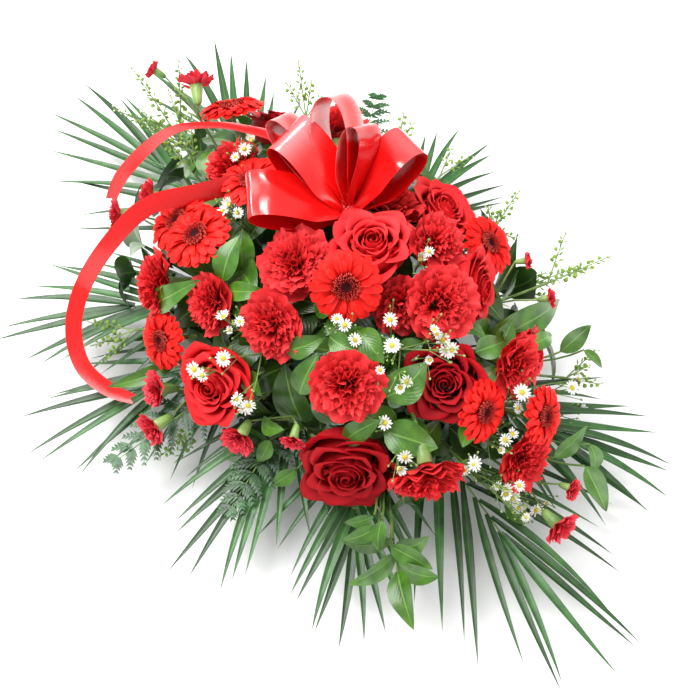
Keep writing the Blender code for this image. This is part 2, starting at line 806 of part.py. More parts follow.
def pod_sprig(name, fork, ends, holes):
    """A branching sprig with flat seed pods along each branch."""
    fork = Vector(fork)
    axis = (fork - Vector((AIM_ALONG * fork.x, AIM_ACROSS * fork.y, AIM_HEIGHT))).normalized()
    points = stem_path(fork, axis, fork)
    holes.append(hole(points[0], points[1], SPRIG_STEM))
    pieces = [tube(points, SPRIG_STEM)]
    for end in ends:
        end = Vector(end)
        way = (end - fork).normalized()
        pieces.append(tube((fork - way * FORK_OVERLAP, end), BRANCH))
        for number in range(PODS_PER_BRANCH):
            swing = Vector((0, 0, POD_WIDTH * POD_SWING * number))
            pieces.append(pod(fork.lerp(end, 1 - POD_SPACING * number) + swing))
    node = joined(pieces[0], pieces[1:])
    node.name = name
    return node


def ribbon(name, path, sides, widths):
    """A ribbon along a path, with its own width and crosswise direction at each point."""
    last = len(path) - 1
    bm = bmesh.new()
    bmesh.ops.create_grid(bm, x_segments=last, y_segments=1, size=0.5)
    for vertex in bm.verts:
        station = round((vertex.co.x + 0.5) * last)
        edge = 1 if vertex.co.y > 0 else -1
        vertex.co = path[station] + sides[station] * edge * widths[station] / 2
    bmesh.ops.triangulate(bm, faces=bm.faces)
    bmesh.ops.recalc_face_normals(bm, faces=bm.faces)
    made = object_of(bm, name)
    wall = made.modifiers.new("Ribbon", "SOLIDIFY")
    wall.thickness = RIBBON_THICK
    wall.offset = 0
    return applied(made)


def bow_loop(end, across, height):
    """One loop of the bow: out from the knot along its foot, round, and back over the top."""
    knot = Vector(KNOT)
    run = Vector(end) - knot
    side = Vector(across)
    side = (side - run * side.dot(run) / run.length_squared).normalized()
    up = side.cross(run).normalized()
    path = []
    widths = []
    for step in range(LOOP_SEGMENTS + 1):
        turn = math.pi * 2 * step / LOOP_SEGMENTS
        out = (1 - math.cos(turn)) / 2
        open_share = math.sin(turn) * out ** 0.5
        path.append(knot + run * out - up * height / 2 * open_share)
        full = min(1.0, out * RIBBON_OPENING)
        widths.append(RIBBON_WIDTH * (RIBBON_PINCH + (1 - RIBBON_PINCH) * full))
    path[0] += up * LOOP_FOOT
    path[-1] -= up * LOOP_FOOT
    return ribbon("loop", path, [side] * len(path), widths)


def ribbon_tail(points, width):
    """One free end of the ribbon, its face turned up and forward."""
    face = Vector(RIBBON_FACE)
    path = [Vector(point) for point in points]
    sides = []
    widths = []
    for number in range(len(path)):
        before = path[max(0, number - 1)]
        after = path[min(len(path) - 1, number + 1)]
        sides.append((after - before).cross(face).normalized())
        widths.append(width if number else width * TAIL_PINCH)
    return ribbon("tail", path, sides, widths)


def make_bow(holes):
    """The bow with its ends and the pick that holds it in the foam, gathered in one knot."""
    bm = bmesh.new()
    bmesh.ops.create_icosphere(bm, subdivisions=1, radius=KNOT_RADIUS)
    bmesh.ops.translate(bm, vec=KNOT, verts=bm.verts)
    knot = object_of(bm, "bow")
    pieces = [bow_loop(*loop) for loop in LOOPS]
    for points, width in zip(TAIL_PATHS, TAIL_WIDTHS):
        pieces.append(ribbon_tail(points, width))
    top = Vector(KNOT)
    entry = Vector((top.x, top.y, FOAM_TOP))
    root = entry - Vector((0, 0, STEM_DEPTH))
    pieces.append(tube((root, top), PICK_RADIUS))
    holes.append(hole(root, entry, PICK_RADIUS))
    return without_inner_skins(joined(knot, pieces))


def make_tray():
    """The shallow plastic tray with rounded corners."""
    bm = bmesh.new()
    bmesh.ops.create_cube(bm, size=1.0)
    bmesh.ops.scale(bm, vec=(TRAY_LENGTH, TRAY_WIDTH, TRAY_HEIGHT), verts=bm.verts)
    bmesh.ops.translate(bm, vec=(0, 0, TRAY_HEIGHT / 2), verts=bm.verts)
    upright = [e for e in bm.edges if abs(e.verts[0].co.z - e.verts[1].co.z) > TRAY_HEIGHT / 2]
    bmesh.ops.bevel(bm, geom=upright, offset=TRAY_CORNER, segments=4, profile=0.5, affect="EDGES")
    top = [face for face in bm.faces if face.normal.z > 0.9]
    bmesh.ops.delete(bm, geom=top, context="FACES_ONLY")
    tray = object_of(bm, "spray_tray")
    wall = tray.modifiers.new("Wall", "SOLIDIFY")
    wall.thickness = TRAY_WALL
    wall.offset = -1
    wall.use_even_offset = True
    return tray


def make_foam(holes):
    """The foam block, with a hole for every stem."""
    bm = bmesh.new()
    bmesh.ops.create_cube(bm, size=1.0)
    height = FOAM_TOP - FOAM_BASE
    bmesh.ops.scale(bm, vec=(FOAM_LENGTH, FOAM_WIDTH, height), verts=bm.verts)
    bmesh.ops.translate(bm, vec=(0, 0, FOAM_BASE + height / 2), verts=bm.verts)
    return joined(object_of(bm, "foam_block"), holes, "DIFFERENCE")


def finish(objects, name, colour, roughness):
    """Gives these objects their finish, and green stems."""
    for obj in objects:
        obj.data.materials.clear()
        obj.data.materials.append(material(name, colour, roughness))
        obj.data.materials.append(material("Stem", STEM_GREEN, 0.5))


def main():
    for obj in list(bpy.data.objects):
        bpy.data.objects.remove(obj)
    group = bpy.data.collections.new(COLLECTION)
    bpy.context.scene.collection.children.link(group)
    holes = []
    roses = [
        bloom_node(name, blooms, ROSE_ROWS, ROSE_COLUMNS, ROSE_COLUMNS_PER_PETAL, ROSE_STEM, holes)
        for name, blooms in ROSES.items()
    ]
    carnations = [
        bloom_node(name, blooms, CARNATION_ROWS, CARNATION_COLUMNS, 2, CARNATION_STEM, holes)
        for name, blooms in CARNATIONS.items()
    ]
    gerberas = [
        bloom_node(name, blooms, GERBERA_ROWS, GERBERA_COLUMNS, 2, GERBERA_STEM, holes)
        for name, blooms in GERBERAS.items()
    ]
    sprays = [forked_spray(name, heads, holes) for name, heads in SPRAY_CARNATIONS.items()]
    palms = [
        frond(
            name, place, PALM_LEAFLETS, PALM_LEAFLET_WIDTH, (PALM_RIB_START, PALM_RIB_END),
            PALM_SPREAD, PALM_STEM, PALM_BLADE, holes,
        )
        for name, place in PALMS.items()
    ]
    ferns = [
        frond(
            name, place, FERN_PINNAE, FERN_PINNA_WIDTH, (FERN_RIB_START, FERN_RIB_END),
            FERN_SPREAD, FERN_STEM, FERN_BLADE, holes,
        )
        for name, place in FERNS.items()
    ]
    leafy = [leafy_sprig(name, *sprig, holes) for name, sprig in LEAFY_SPRIGS.items()]
    daisies = [daisy_spray(name, *spray, holes) for name, spray in DAISY_SPRAYS.items()]
    pods = [pod_sprig(name, *sprig, holes) for name, sprig in POD_SPRIGS.items()]
    bow = make_bow(holes)
    foam = make_foam(holes)
    tray = make_tray()
    finish(roses, "Rose petal", ROSE_RED, 0.55)
    finish(carnations + sprays, "Carnation petal", CARNATION_RED, 0.6)
    finish(gerberas, "Gerbera petal", GERBERA_RED, 0.5)
    finish(palms, "Palm leaf", FROND_GREEN, 0.4)
    finish(ferns, "Fern leaf", FERN_GREEN, 0.45)
    finish(leafy, "Broad leaf", LEAF_GREEN, 0.3)
    finish(daisies, "Daisy petal", DAISY_WHITE, 0.6)
    finish(pods, "Seed pod", POD_GREEN, 0.5)
    finish([bow], "Ribbon", RIBBON_RED, 0.25)
    finish([foam], "Wet foam", FOAM_GREEN, 0.9)
    finish([tray], "Tray plastic", TRAY_GREEN, 0.4)


main()
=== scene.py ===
"""Dresses a red funeral spray: petals, foliage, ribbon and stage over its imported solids.

Metres, +Z up, in the spray's own frame. Each flower, frond and sprig stands where its solid stands,
on a stem that runs back into the foam, and the small filling pieces lie on the dome that the
flowers make.
"""

import math
import random

import bmesh
import bpy
from bpy.props import FloatProperty, FloatVectorProperty, IntProperty, PointerProperty
from mathutils import Matrix, Vector


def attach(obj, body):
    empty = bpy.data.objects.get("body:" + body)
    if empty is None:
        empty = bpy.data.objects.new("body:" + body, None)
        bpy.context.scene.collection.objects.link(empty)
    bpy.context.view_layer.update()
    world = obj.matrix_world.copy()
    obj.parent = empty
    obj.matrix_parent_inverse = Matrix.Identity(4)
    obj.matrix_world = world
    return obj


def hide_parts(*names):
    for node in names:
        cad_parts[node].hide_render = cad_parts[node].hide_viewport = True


bl_info = {
    "name": "Funeral Flower Spray",
    "version": (1, 0, 0),
    "blender": (4, 5, 0),
    "location": "View3D > Sidebar > Flower Spray",
    "description": "Petals, foliage, ribbon and stage of a red funeral spray",
    "category": "Object",
}

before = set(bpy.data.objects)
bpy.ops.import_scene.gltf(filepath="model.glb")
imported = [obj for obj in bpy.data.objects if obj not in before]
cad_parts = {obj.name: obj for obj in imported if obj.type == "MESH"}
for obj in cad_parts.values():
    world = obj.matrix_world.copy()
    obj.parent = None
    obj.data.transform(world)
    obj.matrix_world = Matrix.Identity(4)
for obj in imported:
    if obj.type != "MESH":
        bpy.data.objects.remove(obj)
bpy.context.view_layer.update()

UP = Vector((0.0, 0.0, 1.0))
GOLDEN_TURN = math.radians(137.5)

# The holder that the stems stand in
FOAM_LENGTH = 0.270
FOAM_WIDTH = 0.116
FOAM_BASE = 0.0019
FOAM_TOP = 0.100
STEM_DEPTH = 0.030
STEM_STEPS = 8
STEM_IN_CALYX = 0.005
AIM_ALONG = 0.36
AIM_ACROSS = 0.16
AIM_HEIGHT = 0.040
AIM_RISE = 0.10
# How far a stem swings out, and how long it runs straight at its foot and at its head, as shares of it
STEM_SWING = 0.22
STEM_FOOT = 0.45
STEM_HEAD = 0.30

# Radii of the thin stems, and how far below its heads a stem forks
SPRIG_STEM = 0.0013
LEAF_STALK = 0.00104
BRANCH = 0.0009
BRANCH_STEPS = 8
SPRAY_FORK = 0.060
DAISY_FORK = 0.050

# Each kind of bloom: how far its petals reach past the width of its solid, how far the back of its
# calyx lies behind its face in half widths, and the radius of its stem
ROSE_BUILD = (1.10, -1.30, 0.0028)
CARNATION_BUILD = (1.12, -1.42, 0.0020)
GERBERA_BUILD = (1.08, -0.36, 0.0022)
SPRAY_SPREAD = 1.06
SPRAY_NECK = -1.50

# Blooms: where the middle of the face lies, the way it faces (bearing, elevation) and its width
ROSES = {
    "rose_top": (((0.055, 0.000, 0.238), (-55, 83), 0.075),),
    "rose_front": (((0.184, -0.123, 0.112), (-40, 10), 0.090),),
    "rose_left": (((0.044, -0.178, 0.137), (-68, 30), 0.078),),
    "rose_centre": (((0.187, -0.018, 0.178), (-45, 42), 0.070),),
    "rose_right": (((0.132, 0.074, 0.188), (33, 16), 0.072),),
    "rose_back": (((-0.148, 0.044, 0.196), (124, 42), 0.072),),
    "rose_upper": (((0.040, 0.102, 0.200), (62, 57), 0.070),),
    "rose_tail": (((0.192, 0.093, 0.140), (47, 17), 0.054),),
}
CARNATIONS = {
    "carnation_crown": (((0.026, -0.066, 0.228), (-64, 74), 0.064),),
    "carnation_left_crown": (((0.056, -0.118, 0.198), (-70, 36), 0.059),),
    "carnation_middle": (((0.146, -0.095, 0.190), (-36, 43), 0.062),),
    "carnation_right_pair": (
        ((0.142, 0.014, 0.224), (-11, 52), 0.063),
        ((0.111, -0.006, 0.201), (-16, 40), 0.052),
    ),
    "carnation_front": (((0.243, -0.074, 0.130), (-24, -18), 0.062),),
    "carnation_bow": (((-0.006, 0.046, 0.224), (116, 61), 0.058),),
    "carnation_upper": (((0.089, 0.054, 0.230), (31, 49), 0.054),),
    "carnation_right": (((0.212, 0.053, 0.172), (16, 20), 0.055),),
    "carnation_tail": (((0.267, 0.022, 0.108), (2, 20), 0.052),),
    "carnation_left": (((-0.014, -0.142, 0.178), (-96, 26), 0.055),),
    "carnation_back": (((-0.106, 0.074, 0.212), (147, 45), 0.060),),
    "carnation_back_left": (((-0.128, -0.037, 0.206), (-157, 55), 0.056),),
    "carnation_far_left": (((-0.080, -0.164, 0.153), (-113, 15), 0.058),),
}
GERBERAS = {
    "gerbera_left_pair": (
        ((-0.066, -0.114, 0.207), (-117, 66), 0.064),
        ((-0.098, -0.115, 0.196), (-122, 57), 0.060),
    ),
    "gerbera_middle": (((0.081, -0.048, 0.230), (-36, 45), 0.062),),
    "gerbera_side": (((-0.034, -0.181, 0.128), (-90, 31), 0.054),),
    "gerbera_bow": (((-0.080, -0.042, 0.222), (-140, 77), 0.058),),
    "gerbera_back": (((-0.170, -0.004, 0.220), (160, 54), 0.062),),
    "gerbera_right": (((0.224, 0.001, 0.162), (15, 28), 0.055),),
    "gerbera_tail": (((0.247, 0.055, 0.134), (26, 28), 0.054),),
    "gerbera_upper": (((0.086, 0.116, 0.178), (43, 51), 0.056),),
}

# The roses whose red is darkest
VELVET_ROSES = ("rose_front", "rose_centre", "rose_back")

# The carnation by the bow stands a little out from under the loops
BLOOM_SHIFTS = {"carnation_bow": (0.020, 0.008, -0.004)}

# Spray carnations: a main stem that forks to several small heads, each placed as a bloom is
SPRAY_CARNATIONS = {
    "spray_carnation_top": (
        ((-0.233, -0.053, 0.247), (-151, 17), 0.021), ((-0.189, -0.029, 0.259), (150, 27), 0.036),
    ),
    "spray_carnation_left": (
        ((-0.149, -0.121, 0.188), (-127, 16), 0.036), ((-0.156, -0.153, 0.174), (-122, 9), 0.032),
    ),
    "spray_carnation_low": (
        ((0.019, -0.233, 0.084), (-83, 5), 0.036), ((-0.014, -0.209, 0.094), (-106, 23), 0.036),
    ),
    "spray_carnation_front": (
        ((0.093, -0.182, 0.110), (-60, 4), 0.037), ((0.141, -0.151, 0.142), (-48, -14), 0.025),
    ),
    "spray_carnation_tail": (
        ((0.326, 0.018, 0.075), (3, 2), 0.036), ((0.304, 0.048, 0.088), (20, 15), 0.022),
    ),
    "spray_carnation_right": (
        ((0.134, 0.122, 0.196), (59, 6), 0.018), ((0.165, 0.128, 0.168), (50, 20), 0.020),
    ),
}

# Fronds lie on one cone that falls away from the foam, each at its own level above it. The foot
# of a frond lies at shares of its tip's place.
FROND_AIM = (0.25, 0.10)
FROND_FLOOR = 0.0015
CONE_FLAT = 0.150
CONE_TOP = 0.046
CONE_FALL = 0.036
CONE_REACH = 0.360
CONE_CURVE = 0.9
STALK_STEPS = 10
STALK_TAPER = 0.45
# Palms: the leaflets open from the first to the second angle, and run on past the end of the rib
PALM_STALK = 0.0018
PALM_RIB_START = 0.07
PALM_RIB_END = 0.46
PALM_SPREAD = (40, 12)
RANK_SHIFT = 0.02
LEAFLET_ASIDE = 0.0012
LEAFLET_RAISED = 0.0006
LEAFLET_PAST_RIB = 1.02
LEAFLET_FIRST_CUT = 0.10
LEAFLET_BACK = 0.35
LEAFLET_GRID = (4, 12)
# Bearing of the tip, how far it reaches, the level above the cone
PALMS = {
    "palm_far_left": (-174, 0.462, 0.002),
    "palm_back_left": (168, 0.440, 0.018),
    "palm_left": (-128, 0.345, 0.010),
    "palm_low_left": (-102, 0.335, 0.002),
    "palm_front_left": (-61, 0.315, 0.018),
    "palm_front": (-34.5, 0.350, 0.010),
    "palm_tail": (-3, 0.445, 0.002),
    "palm_right": (23, 0.370, 0.018),
    "palm_back_right": (113, 0.310, 0.002),
}
# Ferns: the angles and the lengths of the first and the last side branch, and the size of the lobes
FERN_STALK = 0.0012
FERN_STALK_END = 0.97
FERN_RIB_START = 0.37
FERN_RIB_END = 0.95
FERN_SPREAD = (70, 40)
FERN_SPANS = (0.250, 0.075)
LOBE_PITCH = 0.0046
LOBE_SIZE = 0.0104
LOBES_LEAST = 4
PINNA_RIB = 0.0016
PINNA_RAISED = 0.001
PINNA_DROOP = 0.004
FERNS = {
    "fern_front_left": (-87, 0.275, 0.026),
    "fern_front": (-60, 0.250, 0.026),
    "fern_back": (136, 0.310, 0.026),
}

# Leafy sprigs: where the stem ends, then the tip and the width of each leaf
LEAFY_SPRIGS = {
    "leaves_left": ((-0.026, -0.094, 0.178), (
        ((0.018, -0.104, 0.196), 0.030), ((-0.054, -0.070, 0.194), 0.032), ((-0.062, -0.132, 0.170), 0.026),
    )),
    "leaves_middle": ((0.124, -0.058, 0.176), (
        ((0.132, -0.032, 0.196), 0.030), ((0.092, -0.064, 0.202), 0.030), ((0.070, -0.106, 0.178), 0.030),
        ((0.168, -0.054, 0.166), 0.036),
    )),
    "leaves_front": ((0.172, -0.060, 0.130), (
        ((0.146, -0.092, 0.160), 0.030), ((0.212, -0.050, 0.114), 0.032), ((0.192, -0.040, 0.106), 0.026),
    )),
    "leaves_right": ((0.160, 0.058, 0.146), (
        ((0.150, 0.036, 0.180), 0.026), ((0.172, 0.062, 0.174), 0.026), ((0.134, 0.172, 0.096), 0.028),
    )),
    "leaves_low_front": ((0.266, -0.126, 0.066), (
        ((0.316, -0.146, 0.058), 0.024), ((0.292, -0.098, 0.066), 0.022), ((0.250, -0.168, 0.066), 0.022),
        ((0.256, -0.082, 0.070), 0.022), ((0.216, -0.150, 0.072), 0.022),
    )),
}

# Sprays of small daisies: where the stem forks, then where each daisy sits
DAISY_SPRAYS = {
    "asters_left": ((0.048, -0.120, 0.150), (
        (0.044, -0.158, 0.170), (0.092, -0.164, 0.158), (0.020, -0.140, 0.192),
    )),
    "asters_middle": ((0.138, -0.030, 0.186), (
        (0.146, -0.046, 0.214), (0.158, -0.006, 0.212), (0.177, -0.004, 0.208), (0.178, -0.060, 0.200),
    )),
    "asters_tail": ((0.236, -0.016, 0.090), (
        (0.252, -0.034, 0.144), (0.280, -0.018, 0.116), (0.296, -0.004, 0.082), (0.286, 0.006, 0.064),
    )),
}

# Sprigs of flat green seed pods: the fork, then the end of each branch
POD_SPRIGS = {
    "seed_sprig_back_left": ((-0.196, -0.048, 0.170), (
        (-0.262, -0.060, 0.232), (-0.236, -0.020, 0.236), (-0.250, -0.090, 0.200), (-0.214, -0.070, 0.206),
    )),
    "seed_sprig_right": ((0.134, 0.150, 0.140), (
        (0.110, 0.190, 0.166), (0.150, 0.214, 0.150), (0.160, 0.180, 0.170),
    )),
}

# The bow: a ribbon gathered at one knot, with loops that stand out of it and two forked ends
KNOT_RADIUS = 0.010
PICK_FOOT = (0.000, 0.002)
PICK_RADIUS = 0.0018
# Where the ribbon's folds meet, tucked under the rose beside the knot's solid
BOW_HEART = (0.0043, 0.0112, 0.2198)
# Far end of each loop, the way its width runs there, and how far it stands open
LOOPS = (
    ((-0.041, -0.070, 0.253), (-0.57, 0.82, -0.07), 0.030),
    ((-0.063, -0.012, 0.281), (-0.05, 0.97, -0.25), 0.034),
    ((-0.089, -0.003, 0.272), (0.26, -0.70, 0.67), 0.028),
    ((-0.064, 0.042, 0.295), (0.23, -0.60, 0.77), 0.044),
    ((-0.028, 0.050, 0.281), (0.28, -0.70, 0.65), 0.028),
    ((0.003, 0.084, 0.265), (0.96, -0.14, 0.26), 0.030),
)
# The way the free ends face
RIBBON_FACE = (0.465, -0.337, 0.819)
TAIL_WIDTHS = (0.019, 0.013)
TAIL_PATHS = (
    (
        (-0.050, -0.024, 0.252), (-0.082, -0.046, 0.246), (-0.099, -0.088, 0.236), (-0.117, -0.134, 0.213),
        (-0.129, -0.176, 0.168), (-0.136, -0.207, 0.118), (-0.120, -0.230, 0.088), (-0.090, -0.240, 0.070),
        (-0.058, -0.232, 0.062), (-0.034, -0.217, 0.060),
    ),
    (
        (-0.060, -0.010, 0.264), (-0.105, -0.032, 0.262), (-0.138, -0.052, 0.250), (-0.168, -0.068, 0.228),
        (-0.196, -0.084, 0.190), (-0.212, -0.110, 0.150), (-0.216, -0.126, 0.118),
    ),
)

# Painted light on each loop of the bow, from 0 to 1: how deep (painted shade), red or pale (painted
# highlight and glow) it is on its foot, on its top and at its fold
LOOP_SHADES = (
    (0.15, 0.48, 0.55), (0.15, 0.50, 0.95), (0.30, 0.62, 0.90),
    (0.45, 0.85, 1.00), (0.15, 0.58, 0.80), (0.20, 0.48, 0.65),
)

# How broad each ribbon end looks at even steps from the knot, where it turns edge on
TAIL_TURNS = (
    (0.50, 1.05, 1.00, 0.94, 0.88, 0.86, 0.86, 0.82, 0.50),
    (0.85, 0.80, 0.62, 0.45, 0.50, 0.75, 1.00, 1.05, 0.80),
)
# Painted shade along each free end, from the knot to its tip, darkest by the knot
TAIL_SHADES = ((0.00, 0.55), (0.20, 0.45))

# How far the first points of the broad ribbon end drop, so that it comes from behind the flower by the bow
TAIL_DROP = (0.024, 0.032, 0.024, 0.004)

# The dome that the flowers make, and the camera that looks at it. Filling pieces are placed by
# where they appear in the 700 by 700 picture, on this dome or beside it.
DOME_CENTRE = Vector((-0.010, 0.000, 0.030))
DOME_AXES = Vector((0.300, 0.210, 0.210))
VIEW_AZIMUTH = 54.0
VIEW_ELEVATION = 55.0
VIEW_DISTANCE = 1.700
VIEW_TARGET = Vector((0.0071, 0.0097, 0.0))
PICTURE = 700
FOCAL_PIXELS = 1653
SENSOR = 36.0
# Height above the dome's middle of the plane in which pieces beside the dome are placed
BESIDE_RISE = 0.06

# The space that each kind of bloom fills: how far below its face the middle lies, and its radius, in
# half widths
BLOOM_SPACE = ((ROSES, 0.45, 0.95), (CARNATIONS, 0.40, 0.95), (GERBERAS, 0.10, 0.60))
# Filling pieces move towards the camera in these steps until they clear the blooms by a margin
CLEAR_STEP = 0.002
CLEAR_STEPS = 60
LEAF_MARGIN = 0.002
LEAF_MOST_MOVED = 0.030
DAISY_MARGIN = 0.004
# The base and the tip of a leaf lie below and above its depth on the dome, at this share of the
# camera's distance, and the tip of one beside the dome hangs back
LEAF_SINK = 0.03
LEAF_LIFT = 0.01
LEAF_DISTANCE = 0.88
LEAF_DROOP = 0.006

# The stage's lights: how far to the picture's right, up and towards the camera they hang, and their size
LIGHTS_AIM = Vector((0.0, 0.0, 0.12))
LIGHTS = {
    "key": ((-0.90, 1.10, 1.40), (1.50, 1.50)),
    "fill": ((1.50, -0.40, 1.30), (1.50, 1.50)),
    "back": ((0.08, 1.56, 0.65), (0.42, 0.20)),
    "strip": ((-1.15, 1.20, 0.35), (0.12, 0.30)),
}

# Broad leaves between the flowers: base, tip and width in picture pixels, then depth on the dome
FILLING_LEAVES = (
    ((222, 282), (241, 234), 27, 0.98),
    ((154, 306), (202, 280), 25, 0.95),
    ((206, 178), (214, 148), 20, 0.90),
    ((184, 176), (200, 158), 18, 0.90),
    ((228, 290), (268, 291), 19, 0.95),
    ((284, 350), (326, 336), 22, 0.96),
    ((299, 394), (319, 352), 25, 0.95),
    ((329, 336), (360, 352), 21, 0.97),
    ((357, 330), (384, 364), 26, 0.96),
    ((384, 398), (427, 362), 34, 0.97),
    ((343, 442), (381, 420), 22, 0.94),
    ((383, 430), (438, 448), 34, 0.95),
    ((454, 318), (486, 336), 17, 0.97),
    ((474, 352), (504, 341), 23, 0.96),
    ((499, 350), (513, 321), 20, 0.95),
    ((478, 386), (497, 366), 18, 0.94),
    ((203, 206), (229, 190), 17, 0.90),
    ((316, 316), (334, 300), 16, 0.90),
    ((520, 350), (548, 336), 16, 0.92),
    ((270, 440), (258, 462), 16, 0.88),
    ((248, 372), (262, 396), 20, 0.90),
    ((470, 424), (462, 448), 18, 0.92),
    ((120, 262), (146, 246), 14, 0.88),
    ((200, 250), (216, 262), 18, 0.88),
    ((236, 300), (262, 316), 22, 0.90),
    ((268, 300), (290, 286), 20, 0.88),
    ((400, 352), (424, 342), 22, 0.92),
    ((500, 372), (524, 356), 20, 0.92),
    ((262, 420), (284, 430), 18, 0.88),
    ((404, 404), (388, 386), 22, 0.93),
    ((342, 320), (326, 336), 20, 0.88),
    ((530, 430), (552, 446), 20, 0.88),
    ((232, 128), (248, 142), 18, 0.88),
    ((316, 160), (300, 146), 18, 0.86),
)
# Leaves past the edge of the dome: base, tip and width in picture pixels, then how far in front
# of the dome's middle they lie
OUTER_LEAVES = (
    ((560, 352), (592, 325), 20, 0.05),
    ((584, 350), (603, 368), 13, 0.05),
    ((554, 458), (589, 425), 21, 0.09),
    ((590, 444), (594, 474), 18, 0.09),
    ((585, 466), (607, 512), 25, 0.10),
    ((178, 361), (106, 387), 16, 0.05),
    ((374, 516), (343, 523), 13, 0.155),
    ((378, 526), (341, 541), 17, 0.155),
    ((382, 520), (379, 552), 15, 0.155),
    ((390, 546), (433, 570), 20, 0.155),
    ((296, 470), (270, 486), 16, 0.10),
    ((505, 500), (530, 524), 16, 0.10),
)

# Daisies between the flowers, by the sprig that they share, and the depth on the dome
FILLING_DAISIES = (
    (((245, 150), (236, 158), (252, 141)), 0.98),
    (((230, 205), (238, 213), (223, 211)), 0.98),
    (((230, 330), (241, 322)), 0.97),
    (((345, 325), (337, 319), (355, 340)), 0.99),
    (((393, 345), (390, 320), (380, 370)), 0.99),
    (((420, 260), (428, 253)), 0.99),
    (((433, 330), (447, 350), (430, 360), (442, 340)), 0.99),
    (((385, 423), (398, 466), (404, 455)), 0.96),
    (((407, 382),), 0.99),
    (((525, 400), (518, 408), (520, 392)), 0.99),
    (((505, 440), (512, 434), (500, 450)), 0.98),
    (((465, 470), (474, 464)), 0.97),
    (((505, 490), (517, 484), (512, 498), (497, 486)), 0.98),
    (((525, 515), (536, 510), (545, 516), (519, 508)), 0.98),
    (((590, 415), (594, 440), (581, 424)), 0.99),
    (((580, 380), (572, 388)), 0.99),
    (((245, 408), (238, 399)), 0.97),
    (((205, 375), (197, 369)), 1.00),
)

# The least height of a daisy above the floor
FLOOR_ROOM = 0.022

# Seed sprigs beyond the dome: where the fork and the ends of its branches appear, and how far in
# front of the dome's middle they lie
OUTER_SEED_SPRIGS = (
    ((196, 176), ((168, 88), (140, 108), (150, 128), (190, 120)), 0.02),
    ((306, 118), ((298, 60), (286, 82), (312, 78), (322, 96)), -0.06),
    ((398, 150), ((404, 112), (414, 122)), -0.06),
    ((492, 232), ((520, 190), (500, 212), (516, 238), (488, 206)), -0.03),
    ((520, 290), ((578, 266), (560, 280), (546, 272), (556, 300)), -0.02),
    ((566, 378), ((596, 350), (588, 366), (600, 384)), 0.02),
    ((134, 330), ((88, 322), (92, 346), (104, 360)), 0.00),
    ((200, 424), ((168, 446), (158, 458), (176, 462)), 0.04),
    ((440, 176), ((452, 148), (470, 156)), -0.06),
)


# Placement


def mix(low, high, share):
    """The value at this share of the way from low to high."""
    return low + (high - low) * share


def bezier(points, share):
    """The point at this share of a curve with four control points."""
    rest = 1 - share
    a, b, c, d = points
    return a * rest**3 + b * 3 * rest**2 * share + c * 3 * rest * share**2 + d * share**3


def direction(bearing, elevation):
    """The unit vector at this bearing and elevation in degrees."""
    flat = math.cos(math.radians(elevation))
    turn = math.radians(bearing)
    return Vector((flat * math.cos(turn), flat * math.sin(turn), math.sin(math.radians(elevation))))


def foam_exit(aim, heading):
    """Where a line from inside the foam leaves it."""
    lows = (-FOAM_LENGTH / 2, -FOAM_WIDTH / 2, FOAM_BASE)
    highs = (FOAM_LENGTH / 2, FOAM_WIDTH / 2, FOAM_TOP)
    reaches = []
    for low, high, start, step in zip(lows, highs, aim, heading):
        if abs(step) > 1e-9:
            reaches.append(((high if step > 0 else low) - start) / step)
    return aim + heading * min(reaches)


def stem_path(neck, axis, place):
    """The run of a stem from its root in the foam to the back of a bloom."""
    aim = Vector((AIM_ALONG * place.x, AIM_ACROSS * place.y, AIM_HEIGHT + AIM_RISE * place.z))
    reach = (neck - aim).length
    heading = (neck - axis * STEM_SWING * reach - aim).normalized()
    entry = foam_exit(aim, heading)
    reach = (neck - entry).length
    curve = (entry, entry + heading * STEM_FOOT * reach, neck - axis * STEM_HEAD * reach, neck)
    points = [entry - heading * STEM_DEPTH]
    points.extend(bezier(curve, step / STEM_STEPS) for step in range(STEM_STEPS + 1))
    return points


def cone_height(x, y, level):
    """The height of the falling cone that the fronds lie on."""
    away = max(0.0, math.hypot(x, y) - CONE_FLAT) / CONE_REACH
    return CONE_TOP + level - CONE_FALL * away**CONE_CURVE


def view_axes():
    """The picture's right, up and towards-the-camera directions."""
    elevation = math.radians(VIEW_ELEVATION)
    turn = math.radians(VIEW_AZIMUTH)
    right = Vector((math.cos(turn), math.sin(turn), 0.0))
    level = Vector((math.sin(turn), -math.cos(turn), 0.0))
    back = level * math.cos(elevation) + UP * math.sin(elevation)
    return right, back.cross(right), back


def picture_ray(u, v):
    """The camera's place, and the way it looks through this pixel."""
    right, up, back = view_axes()
    middle = PICTURE / 2
    way = right * ((u - middle) / FOCAL_PIXELS) - up * ((v - middle) / FOCAL_PIXELS) - back
    return VIEW_TARGET + back * VIEW_DISTANCE, way


def on_dome(pixel, depth):
    """Where this pixel meets the dome, drawn in to depth times its size."""
    eye, way = picture_ray(*pixel)
    axes = DOME_AXES * depth
    start = Vector([(e - c) / a for e, c, a in zip(eye, DOME_CENTRE, axes)])
    step = Vector([w / a for w, a in zip(way, axes)])
    middle = start.dot(step) / step.length_squared
    room = middle**2 - (start.length_squared - 1) / step.length_squared
    if room < 0:
        near = (start - step * middle).normalized()
        return DOME_CENTRE + Vector([n * a for n, a in zip(near, axes)])
    return eye + way * (-middle - math.sqrt(room))


def beside_dome(pixel, forward):
    """The point seen at this pixel, this far in front of the dome's middle."""
    eye, way = picture_ray(*pixel)
    back = view_axes()[2]
    middle = DOME_CENTRE + UP * BESIDE_RISE
    reach = (eye - middle).dot(back) - forward
    return eye + way * reach


